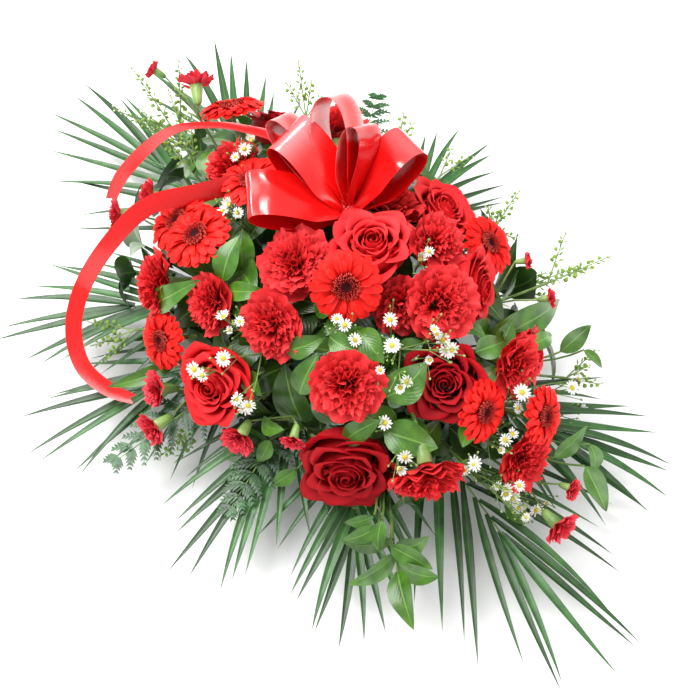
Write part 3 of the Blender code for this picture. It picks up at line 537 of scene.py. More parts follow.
def seen_leaves():
    """The base, tip and width of each broad leaf placed by the picture."""
    back = view_axes()[2]
    pixel = VIEW_DISTANCE * LEAF_DISTANCE / FOCAL_PIXELS
    balls = bloom_balls()
    for base_pixel, tip_pixel, wide, depth in FILLING_LEAVES:
        base = on_dome(base_pixel, depth - LEAF_SINK)
        tip = on_dome(tip_pixel, depth + LEAF_LIFT)
        middle = (base + tip) / 2
        clear = lifted_clear(middle, balls, LEAF_MARGIN) - middle
        if clear.length > LEAF_MOST_MOVED:
            clear = clear * LEAF_MOST_MOVED / clear.length
        yield base + clear, tip + clear, wide * pixel
    for base_pixel, tip_pixel, wide, forward in OUTER_LEAVES:
        base = beside_dome(base_pixel, forward)
        yield base, beside_dome(tip_pixel, forward) - back * LEAF_DROOP, wide * pixel


def outward(point):
    """The way the dome faces at this point."""
    away = Vector([(p - c) / a**2 for p, c, a in zip(point, DOME_CENTRE, DOME_AXES)])
    return away.normalized()


def bloom_balls():
    """The middle and radius of the space that each bloom fills."""
    balls = []
    for group, sink, fill in BLOOM_SPACE:
        for blooms in group.values():
            for place, facing, width in blooms:
                middle = Vector(place) - direction(*facing) * width / 2 * sink
                balls.append((middle, width / 2 * fill))
    return balls


def lifted_clear(point, balls, margin):
    """The point moved towards the camera until no bloom is within margin of it."""
    back = view_axes()[2]
    for _ in range(CLEAR_STEPS):
        if all((point - middle).length > radius + margin for middle, radius in balls):
            break
        point = point + back * CLEAR_STEP
    return point


# Mesh building


def new_bmesh():
    """A bmesh with a UV map, a shade from base to rim, which the finishes paint as the flower's tone with
    painted shade and painted highlight, and a random darkening for each petal or leaf, which on the deep
    leaves is painted shade.
    """
    bm = bmesh.new()
    bm.loops.layers.uv.new("UVMap")
    bm.verts.layers.float.new("shade")
    bm.verts.layers.float.new("vary")
    return bm


def add_sheet(bm, columns, rows, form, vary=0.0, slot=0, closed=False):
    """Adds a grid bent by form, which gives each point its place and its shade.

    Form is called with the way across the sheet from -1 to 1, and the way along it from 0 to 1.
    """
    uv = bm.loops.layers.uv.active
    shade = bm.verts.layers.float["shade"]
    tint_and_shade_layer = bm.verts.layers.float["vary"]
    made = bmesh.ops.create_grid(bm, x_segments=columns, y_segments=rows, size=0.5)["verts"]
    flat = {vertex: (vertex.co.x + 0.5, vertex.co.y + 0.5) for vertex in made}
    for face in {face for vertex in made for face in vertex.link_faces}:
        face.smooth = True
        face.material_index = slot
        for loop in face.loops:
            loop[uv].uv = flat[loop.vert]
    for vertex, (across, along) in flat.items():
        vertex.co, vertex[shade] = form(across * 2 - 1, along)
        vertex[tint_and_shade_layer] = vary
    if closed:
        bmesh.ops.remove_doubles(bm, verts=made, dist=1e-6)


def add_rod(bm, points, radii, slot=1, sides=6):
    """Adds a round stem along the points, with a radius at each."""
    last = len(points) - 1
    frames = []
    aside = None
    for number in range(last + 1):
        way = (points[min(last, number + 1)] - points[max(0, number - 1)]).normalized()
        if aside is None:
            aside = way.orthogonal().normalized()
        aside = (aside - way * aside.dot(way)).normalized()
        frames.append((aside, way.cross(aside)))

    def form(side, along):
        number = round(along * last)
        first, second = frames[number]
        angle = math.pi * (side + 1)
        spoke = first * math.cos(angle) + second * math.sin(angle)
        return points[number] + spoke * radii[number], along

    add_sheet(bm, sides, last, form, 0.5, slot, closed=True)


def add_turned(bm, rows, columns, slot=1, vary=0.5, ripple=0.0, ripples=5):
    """Adds a turned form from rows of radius, height and shade, rippled round its rim."""
    last = len(rows) - 1

    def form(side, along):
        radius, height, shade = rows[round(along * last)]
        angle = math.pi * (side + 1)
        radius *= 1 + ripple * math.cos(ripples * angle)
        return around(radius, angle, height), shade

    add_sheet(bm, columns, last, form, vary, slot, closed=True)


def template_of(bm, name):
    """The mesh of this bmesh, which is used up."""
    mesh = bpy.data.meshes.new(name)
    bm.to_mesh(mesh)
    bm.free()
    return mesh


def add_copy(bm, template, matrix):
    """Adds a moved copy of a template to this bmesh."""
    copy = template.copy()
    copy.transform(matrix)
    bm.from_mesh(copy)
    bpy.data.meshes.remove(copy)


def around(radius, angle, height):
    """The point at this radius, angle and height about the Z axis."""
    return Vector((radius * math.cos(angle), radius * math.sin(angle), height))


def facing_matrix(place, axis, spin, scale):
    """The move that sets a form built facing +Z at this place, facing along axis."""
    turn = UP.rotation_difference(axis).to_matrix().to_4x4()
    return Matrix.Translation(place) @ turn @ Matrix.Rotation(spin, 4, "Z") @ Matrix.Scale(scale, 4)


def linked(name, data):
    """A new object with this data, in the scene."""
    obj = bpy.data.objects.new(name, data)
    bpy.context.scene.collection.objects.link(obj)
    return obj


def finished(bm, name, finishes, slot, *nodes):
    """Makes the piece from its bmesh, and lets it stand for its solids."""
    obj = linked(name, template_of(bm, name))
    for finish in finishes:
        obj.data.materials.append(finish)
    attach(obj, "root")
    if nodes:
        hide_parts(*nodes)
    return obj


# Finishes


def added(tree, kind, inputs=None, **settings):
    """A new node with these settings, its inputs linked or set."""
    made = tree.nodes.new(kind)
    for key, value in settings.items():
        setattr(made, key, value)
    for key, value in (inputs or {}).items():
        if isinstance(value, bpy.types.NodeSocket):
            tree.links.new(value, made.inputs[key])
        else:
            made.inputs[key].default_value = value
    return made


def maths(tree, operation, first, second=0.0):
    """The output of one maths node."""
    return added(tree, "ShaderNodeMath", {0: first, 1: second}, operation=operation).outputs[0]


def ramp(tree, factor, stops):
    """A colour ramp through (position, colour) stops."""
    made = added(tree, "ShaderNodeValToRGB", {"Fac": factor})
    points = made.color_ramp.elements
    while len(points) < len(stops):
        points.new(0.5)
    for point, (position, colour) in zip(points, stops):
        point.position = position
        point.color = (*colour, 1.0)
    return made.outputs["Color"]


def blended(tree, factor, first, second, how="MIX"):
    """Two colours mixed by factor."""
    made = added(tree, "ShaderNodeMix", data_type="RGBA", blend_type=how)
    for key, value in ((0, factor), (6, first), (7, second)):
        if isinstance(value, bpy.types.NodeSocket):
            tree.links.new(value, made.inputs[key])
        else:
            made.inputs[key].default_value = value if key == 0 else (*value, 1.0)
    return made.outputs[2]


def greys(tree, pattern, *stops):
    """A grey ramp through (position, grey) stops."""
    return ramp(tree, pattern, [(position, (share, share, share)) for position, share in stops])


def darkened(tree, colour, amount, pattern, *stops):
    """The colour darkened by a grey ramp, as far as amount says."""
    return blended(tree, amount, colour, greys(tree, pattern, *stops), "MULTIPLY")


def attribute(tree, name):
    """The value of one of the mesh's own attributes."""
    return added(tree, "ShaderNodeAttribute", attribute_name=name).outputs["Fac"]


def object_place(tree):
    """The place on the piece, in metres."""
    return added(tree, "ShaderNodeTexCoord").outputs["Object"]


def stretched_uv(tree, across, along):
    """The piece's own UV map, scaled across and along it."""
    uv = added(tree, "ShaderNodeTexCoord").outputs["UV"]
    return added(tree, "ShaderNodeMapping", {"Vector": uv, "Scale": (across, along, 1.0)}).outputs["Vector"]


def noise(tree, vector, scale, detail):
    """The output of one noise texture."""
    inputs = {"Vector": vector, "Scale": scale, "Detail": detail}
    return added(tree, "ShaderNodeTexNoise", inputs).outputs["Fac"]


def bump(tree, height, strength, distance, under=None):
    """A bump by this height, over another bump where one is given."""
    inputs = {"Height": height, "Strength": strength, "Distance": distance}
    if under is not None:
        inputs["Normal"] = under
    return added(tree, "ShaderNodeBump", inputs).outputs["Normal"]


def new_finish(name, **sockets):
    """A material with one Principled shader, its constant sockets set."""
    made = bpy.data.materials.new(name)
    made.use_nodes = True
    shader = made.node_tree.nodes["Principled BSDF"]
    for key, value in sockets.items():
        shader.inputs[key.replace("_", " ")].default_value = value
    return made, made.node_tree, shader


def petal_finish(name, deep, bright, rim, roughness, sheen, veins):
    """Petal skin: dark at the base and lighter at the rim as the shade value says, which on roses and
    carnations is painted shade in the folds and painted highlight on the rims, with fine veins along it.
    """
    made, tree, shader = new_finish(
        name, Roughness=roughness, Specular_IOR_Level=0.16, Sheen_Weight=sheen, Sheen_Roughness=0.5,
    )
    shader.inputs["Sheen Tint"].default_value = (*rim, 1.0)
    # On roses and carnations this ramp paints shade at the petal's base and in its folds, and a highlight
    # on its rim
    colour = ramp(tree, attribute(tree, "shade"), ((0.0, deep), (0.50, bright), (1.0, rim)))
    vein = noise(tree, stretched_uv(tree, veins, 2.0), 1.0, 3.0)
    colour = darkened(tree, colour, 0.25, vein, (0.3, 0.70), (0.7, 1.0))
    colour = darkened(tree, colour, 0.8, attribute(tree, "vary"), (0.0, 0.80), (1.0, 1.0))
    place = object_place(tree)
    colour = darkened(tree, colour, 0.6, noise(tree, place, 90.0, 3.0), (0.35, 0.82), (0.65, 1.0))
    tree.links.new(colour, shader.inputs["Base Color"])
    fine = bump(tree, noise(tree, place, 2200.0, 2.0), 0.25, 0.0001)
    tree.links.new(bump(tree, vein, 0.35, 0.0004, fine), shader.inputs["Normal"])
    return made


def leaf_finish(name, dark, light, rib, roughness, veins, lean, parallel=False):
    """Leaf skin: a pale midrib, side veins or lines along it, and uneven green, with the deep leaves
    darkened further as painted shade.
    """
    made, tree, shader = new_finish(
        name, Roughness=roughness, Specular_IOR_Level=0.5, Coat_Weight=0.15, Coat_Roughness=0.25,
    )
    uv = added(tree, "ShaderNodeSeparateXYZ", {0: added(tree, "ShaderNodeTexCoord").outputs["UV"]})
    aside = maths(tree, "ABSOLUTE", maths(tree, "SUBTRACT", uv.outputs[0], 0.5))
    if parallel:
        run = maths(tree, "MULTIPLY", uv.outputs[0], veins)
    else:
        slant = maths(tree, "MULTIPLY", aside, lean)
        run = maths(tree, "SUBTRACT", maths(tree, "MULTIPLY", uv.outputs[1], veins), slant)
    line = maths(tree, "ABSOLUTE", maths(tree, "SINE", maths(tree, "MULTIPLY", run, math.pi)))
    place = object_place(tree)
    colour = ramp(tree, noise(tree, place, 70.0, 3.0), ((0.30, dark), (0.75, light)))
    # Each leaf's own darkening, which on the deep leaves is painted shade
    colour = darkened(tree, colour, 0.9, attribute(tree, "vary"), (0.0, 0.25), (1.0, 1.0))
    vein = greys(tree, line, (0.0, 1.0), (0.16, 0.0))
    colour = blended(tree, maths(tree, "MULTIPLY", vein, 0.07), colour, rib)
    middle = greys(tree, aside, (0.012, 1.0), (0.040, 0.0))
    colour = blended(tree, maths(tree, "MULTIPLY", middle, 0.45), colour, rib)
    tree.links.new(colour, shader.inputs["Base Color"])
    fine = bump(tree, noise(tree, place, 900.0, 2.0), 0.20, 0.0001)
    relief = maths(tree, "SUBTRACT", line, maths(tree, "MULTIPLY", middle, 1.5))
    tree.links.new(bump(tree, relief, 0.22, 0.0004, fine), shader.inputs["Normal"])
    return made


def plain_finish(name, first, second, roughness, scale, grain, depth, **sockets):
    """A surface of two close colours, with a fine grain."""
    made, tree, shader = new_finish(name, Roughness=roughness, **sockets)
    place = object_place(tree)
    colour = ramp(tree, noise(tree, place, scale, 4.0), ((0.3, first), (0.7, second)))
    tree.links.new(colour, shader.inputs["Base Color"])
    tree.links.new(bump(tree, noise(tree, place, grain, 3.0), 0.4, depth), shader.inputs["Normal"])
    return made


def ribbon_finish(name, deep, bright, pale):
    """Satin plastic ribbon: fine lines along its length, gloss, painted shade on its shaded parts, and a
    painted pale highlight and glow where light passes.
    """
    made, tree, shader = new_finish(
        name, Roughness=0.15, Specular_IOR_Level=0.50, Coat_Weight=0.10, Coat_Roughness=0.08,
    )
    # Painted shade at the deep end of the shade value, painted highlight and glow at its pale end
    colour = ramp(tree, attribute(tree, "shade"), ((0.0, deep), (0.5, bright), (1.0, pale)))
    lines = noise(tree, stretched_uv(tree, 90.0, 0.4), 1.0, 2.0)
    bands = noise(tree, stretched_uv(tree, 9.0, 0.2), 1.0, 1.0)
    colour = darkened(tree, colour, 0.25, lines, (0.3, 0.6), (0.7, 1.0))
    colour = darkened(tree, colour, 0.30, bands, (0.3, 0.7), (0.7, 1.0))
    tree.links.new(colour, shader.inputs["Base Color"])
    tree.links.new(bump(tree, lines, 0.25, 0.0002), shader.inputs["Normal"])
    return made


# Blooms. Each is built facing +Z with a half width of 1, its face at height 0.


ROSE_COLUMNS = (14, 20)
ROSE_ROWS = 16


def rose_petal(index, count, rng):
    """The form of one rose petal, from the tight bud at index 0 out to the open guard petals."""
    late = index / (count - 1)
    turn = index * GOLDEN_TURN + rng.uniform(-0.25, 0.25)
    half_angle = math.radians(mix(125, 66, min(1.0, late * 1.6) ** 0.6))
    rim = mix(0.05, 0.76, late**0.85) * rng.uniform(0.96, 1.04)
    top = mix(0.06, -0.34, late**1.6) + rng.uniform(-0.03, 0.03)
    roll = mix(0.2, 1.9, min(1.0, late * 1.6)) * rng.uniform(0.8, 1.15)
    roll_radius = mix(0.014, 0.085, late**0.8)
    point_out = mix(0.0, 0.34, min(1.0, max(0.0, late - 0.12) / 0.6)) * rng.uniform(0.8, 1.25)
    lean = rng.uniform(-0.30, 0.30)
    belly = mix(0.09, 0.04, min(1.0, late * 2.0))
    profile = (
        Vector((0.07, -1.0)),
        Vector((0.22 + 0.66 * rim, -0.98 + 0.20 * late)),
        Vector((rim + belly, top - mix(0.42, 0.32, late))),
        Vector((rim - 0.02, top - 0.03)),
    )
    wave = rng.uniform(0, math.tau)
    waves = rng.uniform(0.8, 1.8)
    fold = rng.uniform(0.6, 1.4)

    def form(side, along):
        r, z = bezier(profile, min(1.0, along / 0.70))
        curl = max(0.0, (along - 0.70) / 0.30)
        away = abs(side - lean)
        tent = max(-0.80, 1 - away * 1.80)
        off_tip = min(1.0, away * 1.9)
        bend = roll * curl * mix(0.35, 1.0, off_tip) * (1 - 0.35 * abs(side) ** 3)
        r += roll_radius * (1 - math.cos(bend)) * 1.15
        z += roll_radius * math.sin(bend)
        r += point_out * tent * along**1.6 * mix(0.55, 1.0, curl)
        z += 0.10 * point_out * tent * curl
        z -= mix(0.02, 0.12, late) * abs(side) ** 2.2 * along**2
        r += (0.025 + 0.045 * late) * side * along
        ripple = math.sin(waves * math.pi * side + wave) * along**2
        r += 0.022 * late * ripple * fold
        z += 0.022 * late * ripple
        spread = half_angle * side * mix(0.55, 1.0, min(1.0, along * 1.4))
        # Shade value: painted shade low on the petal, painted highlight on the rolled rim, and a painted
        # shadow along the very edge
        edge = max(0.0, (along - 0.94) / 0.06)
        return around(r, turn + spread, z), mix(0.10, 0.70, along**1.2) + 0.30 * curl - 0.40 * edge

    return form


def rose_head(petals, seed):
    """A rose of this many petals, with its hip and sepals."""
    rng = random.Random(seed)
    bm = new_bmesh()
    for index in range(petals):
        columns = round(mix(*ROSE_COLUMNS, index / petals))
        add_sheet(bm, columns, ROSE_ROWS, rose_petal(index, petals, rng), rng.random())
    add_turned(bm, ROSE_HIP, 10)
    for index in range(5):
        add_sheet(bm, 4, 8, sepal(math.tau * index / 5 + 0.3, rng), rng.random(), 1)
    return bm


# Turned forms: radius, height and shade of each row
ROSE_HIP = (
    (0.00, -1.30, 0.5), (0.10, -1.30, 0.5), (0.16, -1.25, 0.5), (0.20, -1.16, 0.5),
    (0.17, -1.06, 0.5), (0.10, -0.99, 0.5), (0.00, -0.97, 0.5),
)
CARNATION_CALYX = (
    (0.00, -1.42, 0.3), (0.10, -1.42, 0.3), (0.145, -1.34, 0.4), (0.165, -1.15, 0.5),
    (0.190, -0.90, 0.6), (0.215, -0.66, 0.8), (0.19, -0.64, 0.6), (0.00, -0.75, 0.3),
)
GERBERA_CUP = (
    (0.00, -0.36, 0.3), (0.09, -0.36, 0.3), (0.16, -0.31, 0.5), (0.24, -0.22, 0.6),
    (0.27, -0.14, 0.7), (0.16, -0.12, 0.5), (0.00, -0.12, 0.4),
)
SPRAY_CALYX = (
    (0.00, -1.50, 0.3), (0.14, -1.50, 0.3), (0.21, -1.40, 0.4), (0.26, -1.10, 0.5),
    (0.30, -0.80, 0.7), (0.33, -0.48, 0.9), (0.28, -0.46, 0.6), (0.00, -0.60, 0.3),
)


def sepal(turn, rng):
    """The form of one narrow sepal that folds back under the petals."""
    length = rng.uniform(0.55, 0.75)
    drop = rng.uniform(0.05, 0.25)

    def form(side, along):
        run = 0.14 + length * along
        wide = 0.10 * (0.6 + 0.7 * along) * (1 - along**2.2)
        z = -1.02 + 0.22 * math.sin(math.pi * along * 0.8) - drop * along**2
        point = Vector((run, side * wide, z + 0.03 * side**2))
        return Matrix.Rotation(turn, 3, "Z") @ point, 0.4 + 0.4 * along

    return form


# Petals in each ring of a carnation, from the guard petals in: how many, rim radius, rim height,
# half angle of the fan in degrees, depth of the ruffle, waves across it, and how loosely it sits
CARNATION_RINGS = (
    (5, 1.00, -0.34, 50, 0.085, 1.9, 0.5),
    (6, 0.98, -0.22, 44, 0.100, 2.1, 0.7),
    (6, 0.88, -0.08, 42, 0.115, 2.3, 0.8),
    (6, 0.72, 0.02, 42, 0.125, 2.4, 0.9),
)
SPRAY_RINGS = (
    (5, 0.98, -0.22, 48, 0.110, 1.9, 0.6),
    (6, 0.84, -0.06, 44, 0.130, 2.1, 0.8),
)
SPRAY_GRID = (16, 7)
CRUMPLED_GRID = (14, 7)
# The crumpled middle: how many folded petals, how far out they stand and how high
CARNATION_MIDDLE = (60, 0.62, 0.22)
SPRAY_MIDDLE = (20, 0.55, 0.16)


def carnation_petal(turn, rim, top, half, ruffle, waves, columns, rng):
    """The form of one fringed, ruffled petal."""
    waves *= rng.uniform(0.75, 1.25)
    phase = rng.uniform(0, math.tau)
    crimp = rng.uniform(4.5, 7.0)
    crimp_phase = rng.uniform(0, math.tau)
    reach = rim * rng.uniform(0.86, 1.05)
    lift = top + rng.uniform(-0.09, 0.05)
    twist = rng.uniform(-0.12, 0.12)
    teeth = [rng.uniform(-1, 1) for _ in range(columns + 1)]
    profile = (
        Vector((0.05, -0.80)),
        Vector((0.08 + 0.16 * reach, -0.42)),
        Vector((0.04 + 0.60 * reach, lift - 0.12)),
        Vector((reach, lift)),
    )

    def form(side, along):
        r, z = bezier(profile, along)
        r -= 0.12 * reach * abs(side) ** 2.5 * along
        wave = ruffle * along**1.6 * math.sin(waves * math.pi * side + phase)
        fine = 0.022 * along**3 * math.sin(crimp * math.pi * side + crimp_phase)
        if along > 0.999:
            fine += 0.030 * teeth[round((side + 1) / 2 * columns)]
        r += fine + wave * (1 - 0.7 * reach)
        z += (wave + 0.5 * fine) * (0.4 + 0.7 * reach)
        spread = half * side * mix(0.28, 1.0, along**0.7) + twist * along
        spread += 0.5 * wave * math.cos(waves * math.pi * side + phase)
        # Shade value: painted shade low on the petal, painted highlight on the crests of the ruffles and
        # towards the rim
        return around(r, turn + spread, z), min(1.0, along**1.3 * (0.72 + 1.6 * (wave + fine)) + 0.08)

    return form


def crumpled_petal(reach, share, top, rng):
    """The form of one folded petal that stands in the middle of a carnation and curls over."""
    bearing = rng.uniform(0, math.tau)
    out = reach * math.sqrt(share)
    centre = Vector((math.cos(bearing), math.sin(bearing), 0.0)) * out
    turn = bearing + math.pi / 2 + rng.uniform(-0.9, 0.9)
    along_side = Vector((math.cos(turn), math.sin(turn), 0.0))
    through = Vector((along_side.y, -along_side.x, 0.0))
    wide = rng.uniform(0.17, 0.30)
    waves = rng.uniform(1.7, 3.0)
    phase = rng.uniform(0, math.tau)
    deep = rng.uniform(0.045, 0.085)
    curl = rng.uniform(0.04, 0.17) * (1.0 if share > 0.10 else -0.5)
    rise = top * (1 - 1.3 * (out / reach) ** 2) + rng.uniform(-0.07, 0.08)
    columns = CRUMPLED_GRID[0]
    teeth = [rng.uniform(-1, 1) for _ in range(columns + 1)]

    def form(side, along):
        over = max(0.0, (along - 0.50) / 0.50)
        wave = deep * along * math.sin(waves * math.pi * side + phase)
        ripple = 0.4 * deep * over * math.sin(2.3 * waves * math.pi * side + phase)
        place = centre * mix(0.40, 1.0, along) + through * (wave + curl * over**1.6)
        place = place + along_side * side * wide * mix(0.35, 1.0, along**0.7)
        z = mix(-0.55, rise, along) - 0.08 * side**2 * along - 0.30 * curl * over**2 + ripple + 0.4 * wave
        if along > 0.999:
            place = place + through * 0.030 * teeth[round((side + 1) / 2 * columns)]
        # Shade value: painted shade deep in the crumpled middle, painted highlight along the folded top
        # edges and ripples
        return Vector((place.x, place.y, z)), min(1.0, 0.06 + along**2.0 * (0.84 + 3.0 * abs(ripple)))

    return form


def carnation_head(seed, rings, middle, grid, calyx):
    """A carnation: rings of ruffled petals round a crumpled middle, on its calyx."""
    rng = random.Random(seed)
    bm = new_bmesh()
    for count, rim, top, half, ruffle, waves, loose in rings:
        start = rng.uniform(0, math.tau)
        for index in range(count):
            turn = start + math.tau * (index + rng.uniform(-0.25, 0.25) * loose) / count
            fan = math.radians(half * rng.uniform(0.80, 1.15))
            reach = rim * (1 + rng.uniform(-0.15, 0.10) * loose)
            lift = top + rng.uniform(-0.08, 0.08) * loose
            form = carnation_petal(turn, reach, lift, fan, ruffle, waves, grid[0], rng)
            add_sheet(bm, *grid, form, rng.random())
    count, reach, top = middle
    for index in range(count):
        form = crumpled_petal(reach, (index + rng.random()) / count, top, rng)
        add_sheet(bm, *CRUMPLED_GRID, form, rng.random())
    add_turned(bm, calyx, 10, 1, 0.6, 0.05)
    return bm


# Rings of a gerbera: petals, where they start, how far they reach, height at the tip, half width
GERBERA_RINGS = (
    (20, 0.20, 1.00, -0.14, 0.130),
    (19, 0.20, 0.97, -0.06, 0.122),
    (15, 0.22, 0.89, 0.01, 0.108),
    (9, 0.24, 0.74, 0.06, 0.092),
)
GERBERA_FLORETS = (
    (40, 0.26, 0.37, 0.05, 0.016),
    (36, 0.22, 0.32, 0.08, 0.015),
    (30, 0.17, 0.26, 0.09, 0.013),
    (20, 0.12, 0.19, 0.07, 0.011),
)
GERBERA_GRID = (6, 9)
FLORET_GRID = (2, 4)
GERBERA_HEART = (
    (0.29, -0.12, 0.1), (0.27, -0.04, 0.1), (0.22, 0.00, 0.1), (0.17, 0.01, 0.1),
    (0.11, -0.01, 0.0), (0.06, -0.03, 0.0), (0.00, -0.04, 0.0),
)


def gerbera_petal(turn, start, reach, top, half, rng):
    """The form of one strap petal with a rounded tip and two grooves along it."""
    reach *= rng.uniform(0.95, 1.03)
    lift = top + rng.uniform(-0.03, 0.03)
    lean = rng.uniform(-0.05, 0.05)
    cup = rng.uniform(0.7, 1.3)

    def form(side, along):
        along = 1 - (1 - along) ** 1.5
        run = start + (reach - start) * along
        taper = 1 - max(0.0, (along - 0.72) / 0.28) ** 2.4
        width = half * min(1.0, 0.35 + 1.1 * along) * math.sqrt(max(0.0, taper))
        z = -0.16 + (lift + 0.16) * (1 - (1 - along) ** 1.8)
        z += 0.05 * math.sin(math.pi * along) - 0.05 * along**4
        groove = 0.030 * side**2 - 0.010 * math.cos(3 * math.pi * side)
        z += cup * groove * math.sin(math.pi * min(1.0, along + 0.12))
        point = Vector((run, side * width + lean * along**2 * run, z))
        return Matrix.Rotation(turn, 3, "Z") @ point, mix(0.15, 0.80, along) + 0.15 * side**2

    return form


def gerbera_head(seed):
    """A gerbera: rings of strap petals, florets and a dark heart, on its green cup."""
    rng = random.Random(seed)
    bm = new_bmesh()
    for count, start, reach, top, half in GERBERA_RINGS:
        shift = rng.uniform(0, math.tau)
        for index in range(count):
            turn = shift + math.tau * (index + rng.uniform(-0.18, 0.18)) / count
            form = gerbera_petal(turn, start, reach, top, half, rng)
            add_sheet(bm, *GERBERA_GRID, form, rng.random())
    for count, start, reach, top, half in GERBERA_FLORETS:
        for index in range(count):
            turn = math.tau * (index + rng.uniform(-0.3, 0.3)) / count
            form = gerbera_petal(turn, start, reach * rng.uniform(0.9, 1.12), top, half, rng)
            add_sheet(bm, *FLORET_GRID, form, rng.random(), 2)
    add_turned(bm, GERBERA_HEART, 24, 2, 0.5)
    add_turned(bm, GERBERA_CUP, 12, 1, 0.5, 0.08, 11)
    return bm


def bloom_piece(name, blooms, templates, spread, neck_drop, stem_radius, finishes, slot):
    """One piece: its flowers, each on a stem that bends down into the foam."""
    rng = random.Random(name)
    bm = new_bmesh()
    for place, facing, width in blooms:
        axis = direction(*facing)
        place = Vector(place) + Vector(BLOOM_SHIFTS.get(name, (0.0, 0.0, 0.0)))
        width *= spread
        matrix = facing_matrix(place, axis, rng.uniform(0, math.tau), width / 2)
        add_copy(bm, rng.choice(templates), matrix)
        neck = place + axis * neck_drop * width / 2
        points = stem_path(neck, axis, place)
        points[-1] = neck + axis * STEM_IN_CALYX
        add_rod(bm, points, [stem_radius] * len(points), 1, 8)
    return finished(bm, name, finishes, slot, name)


def spray_piece(name, heads, templates, finishes):
    """A spray carnation: a stem that forks to several small heads."""
    rng = random.Random(name)
    places = [Vector(head[0]) for head in heads]
    middle = sum(places, Vector()) / len(places)
    axis = (middle - Vector((AIM_ALONG * middle.x, 0, AIM_HEIGHT))).normalized()
    fork = middle - axis * SPRAY_FORK
    bm = new_bmesh()
    points = stem_path(fork, axis, middle) + [fork + axis * 0.003]
    add_rod(bm, points, [SPRIG_STEM] * len(points))
    for place, facing, width in heads:
        way = direction(*facing)
        place = Vector(place)
        width *= SPRAY_SPREAD
        neck = place + way * SPRAY_NECK * width / 2
        bend = (fork + neck) / 2 + axis * 0.006 - way * 0.004
        branch = (fork - axis * 0.002, bend, neck, neck + way * 0.004)
        add_rod(bm, branch, [BRANCH] * 4)
        matrix = facing_matrix(place, way, rng.uniform(0, math.tau), width / 2)
        add_copy(bm, rng.choice(templates), matrix)
        for hand in (-1, 1):
            add_sheet(bm, 2, 6, grass_leaf(fork, axis, hand, rng), rng.random(), 1)
    return finished(bm, name, finishes, "carnation_petal", name)


def grass_leaf(base, axis, hand, rng):
    """The form of a narrow grey-green leaf at a fork."""
    out = axis.orthogonal().normalized() * hand
    out.rotate(Matrix.Rotation(rng.uniform(-0.8, 0.8), 3, axis))
    length = rng.uniform(0.018, 0.028)
    aside = axis.cross(out).normalized()

    def form(side, along):
        run = base + axis * length * 0.8 * along + out * length * 0.7 * along**2
        return run + aside * 0.0016 * (1 - along**2) * side, 0.5

    return form


# Fronds


def palm_leaflet(frame_of, root, way, span, width, rng):
    """The form of one long pointed leaflet, folded along its middle."""
    along_side = Vector((-way.y, way.x))
    bow = rng.uniform(-0.09, 0.09) * span
    lift = rng.uniform(-0.003, 0.007)
    droop = rng.uniform(0.000, 0.010)

    def form(side, along):
        fade = 1 - max(0.0, (along - 0.30) / 0.70) ** 1.5
        half = width / 2 * (0.45 + 0.55 * min(1.0, along / 0.28)) * fade
        flat = root + way * span * along + along_side * (side * half + bow * along**2)
        rise = 0.45 * abs(side) * half + lift * math.sin(math.pi * along) - droop * along**3
        return frame_of(flat, LEAFLET_RAISED + rise), 0.3 + 0.5 * along

    return form


def frond_frame(place):
    """Where a frond leaves the foam, its length, and the map from its flat layout to its cone."""
    bearing, reach, level = place
    tip = direction(bearing, 0).xy * reach
    aim = Vector((FROND_AIM[0] * tip.x, FROND_AIM[1] * tip.y))
    heading = (tip - aim).normalized()
    across = Vector((-heading.y, heading.x))
    start = foam_exit(Vector((*aim, CONE_TOP + level)), Vector((*heading, 0.0))).xy

    def frame_of(flat, rise):
        spot = start + heading * flat.x + across * flat.y
        return Vector((spot.x, spot.y, max(FROND_FLOOR, cone_height(spot.x, spot.y, level) + rise)))

    return frame_of, (tip - start).length


def add_frond_stalk(bm, frame_of, end, radius):
    """The round stalk of a frond, from inside the foam to where the last leaflet starts."""
    shares = [step / STALK_STEPS for step in range(STALK_STEPS + 1)]
    points = [frame_of(Vector((mix(-STEM_DEPTH, end, share), 0.0)), 0.0) for share in shares]
    add_rod(bm, points, [radius * mix(1.0, STALK_TAPER, share) for share in shares])


def palm_piece(name, place, leaflets, width, finishes):
    """A palm frond: long folded leaflets in two ranks, and one at the end."""
    rng = random.Random(name)
    frame_of, length = frond_frame(place)
    rib_end = length * PALM_RIB_END
    bm = new_bmesh()
    add_frond_stalk(bm, frame_of, rib_end, PALM_STALK)
    for side in (-1, 1):
        for number in range(leaflets):
            share = number / (leaflets - 1)
            angle = math.radians(mix(*PALM_SPREAD, share) + rng.uniform(-3, 3))
            way = Vector((math.cos(angle), math.sin(angle) * side))
            rib = mix(PALM_RIB_START, PALM_RIB_END, share + side * RANK_SHIFT)
            root = Vector((length * rib, LEAFLET_ASIDE * side))
            span = length * (LEAFLET_PAST_RIB - PALM_RIB_END - LEAFLET_FIRST_CUT * (1 - share))
            span += LEAFLET_BACK * (rib_end - root.x)
            span *= rng.uniform(0.86, 1.03)
            form = palm_leaflet(frame_of, root, way, span, width * rng.uniform(0.85, 1.1), rng)
            add_sheet(bm, *LEAFLET_GRID, form, rng.random())
    form = palm_leaflet(frame_of, Vector((rib_end, 0.0)), Vector((1, 0)), length - rib_end, width, rng)
    add_sheet(bm, *LEAFLET_GRID, form, rng.random())
    return finished(bm, name, finishes, "palm_leaf", name)


def fern_pinnule(frame_of, root, way, span, width, rise, curl):
    """The form of one small pointed lobe of a fern."""
    along_side = Vector((-way.y, way.x))

    def form(side, along):
        half = width / 2 * (1 - along**1.6)
        flat = root + way * span * along + along_side * side * half
        return frame_of(flat, rise - curl * along**2 + 0.10 * abs(side) * half), 0.3 + 0.5 * along

    return form


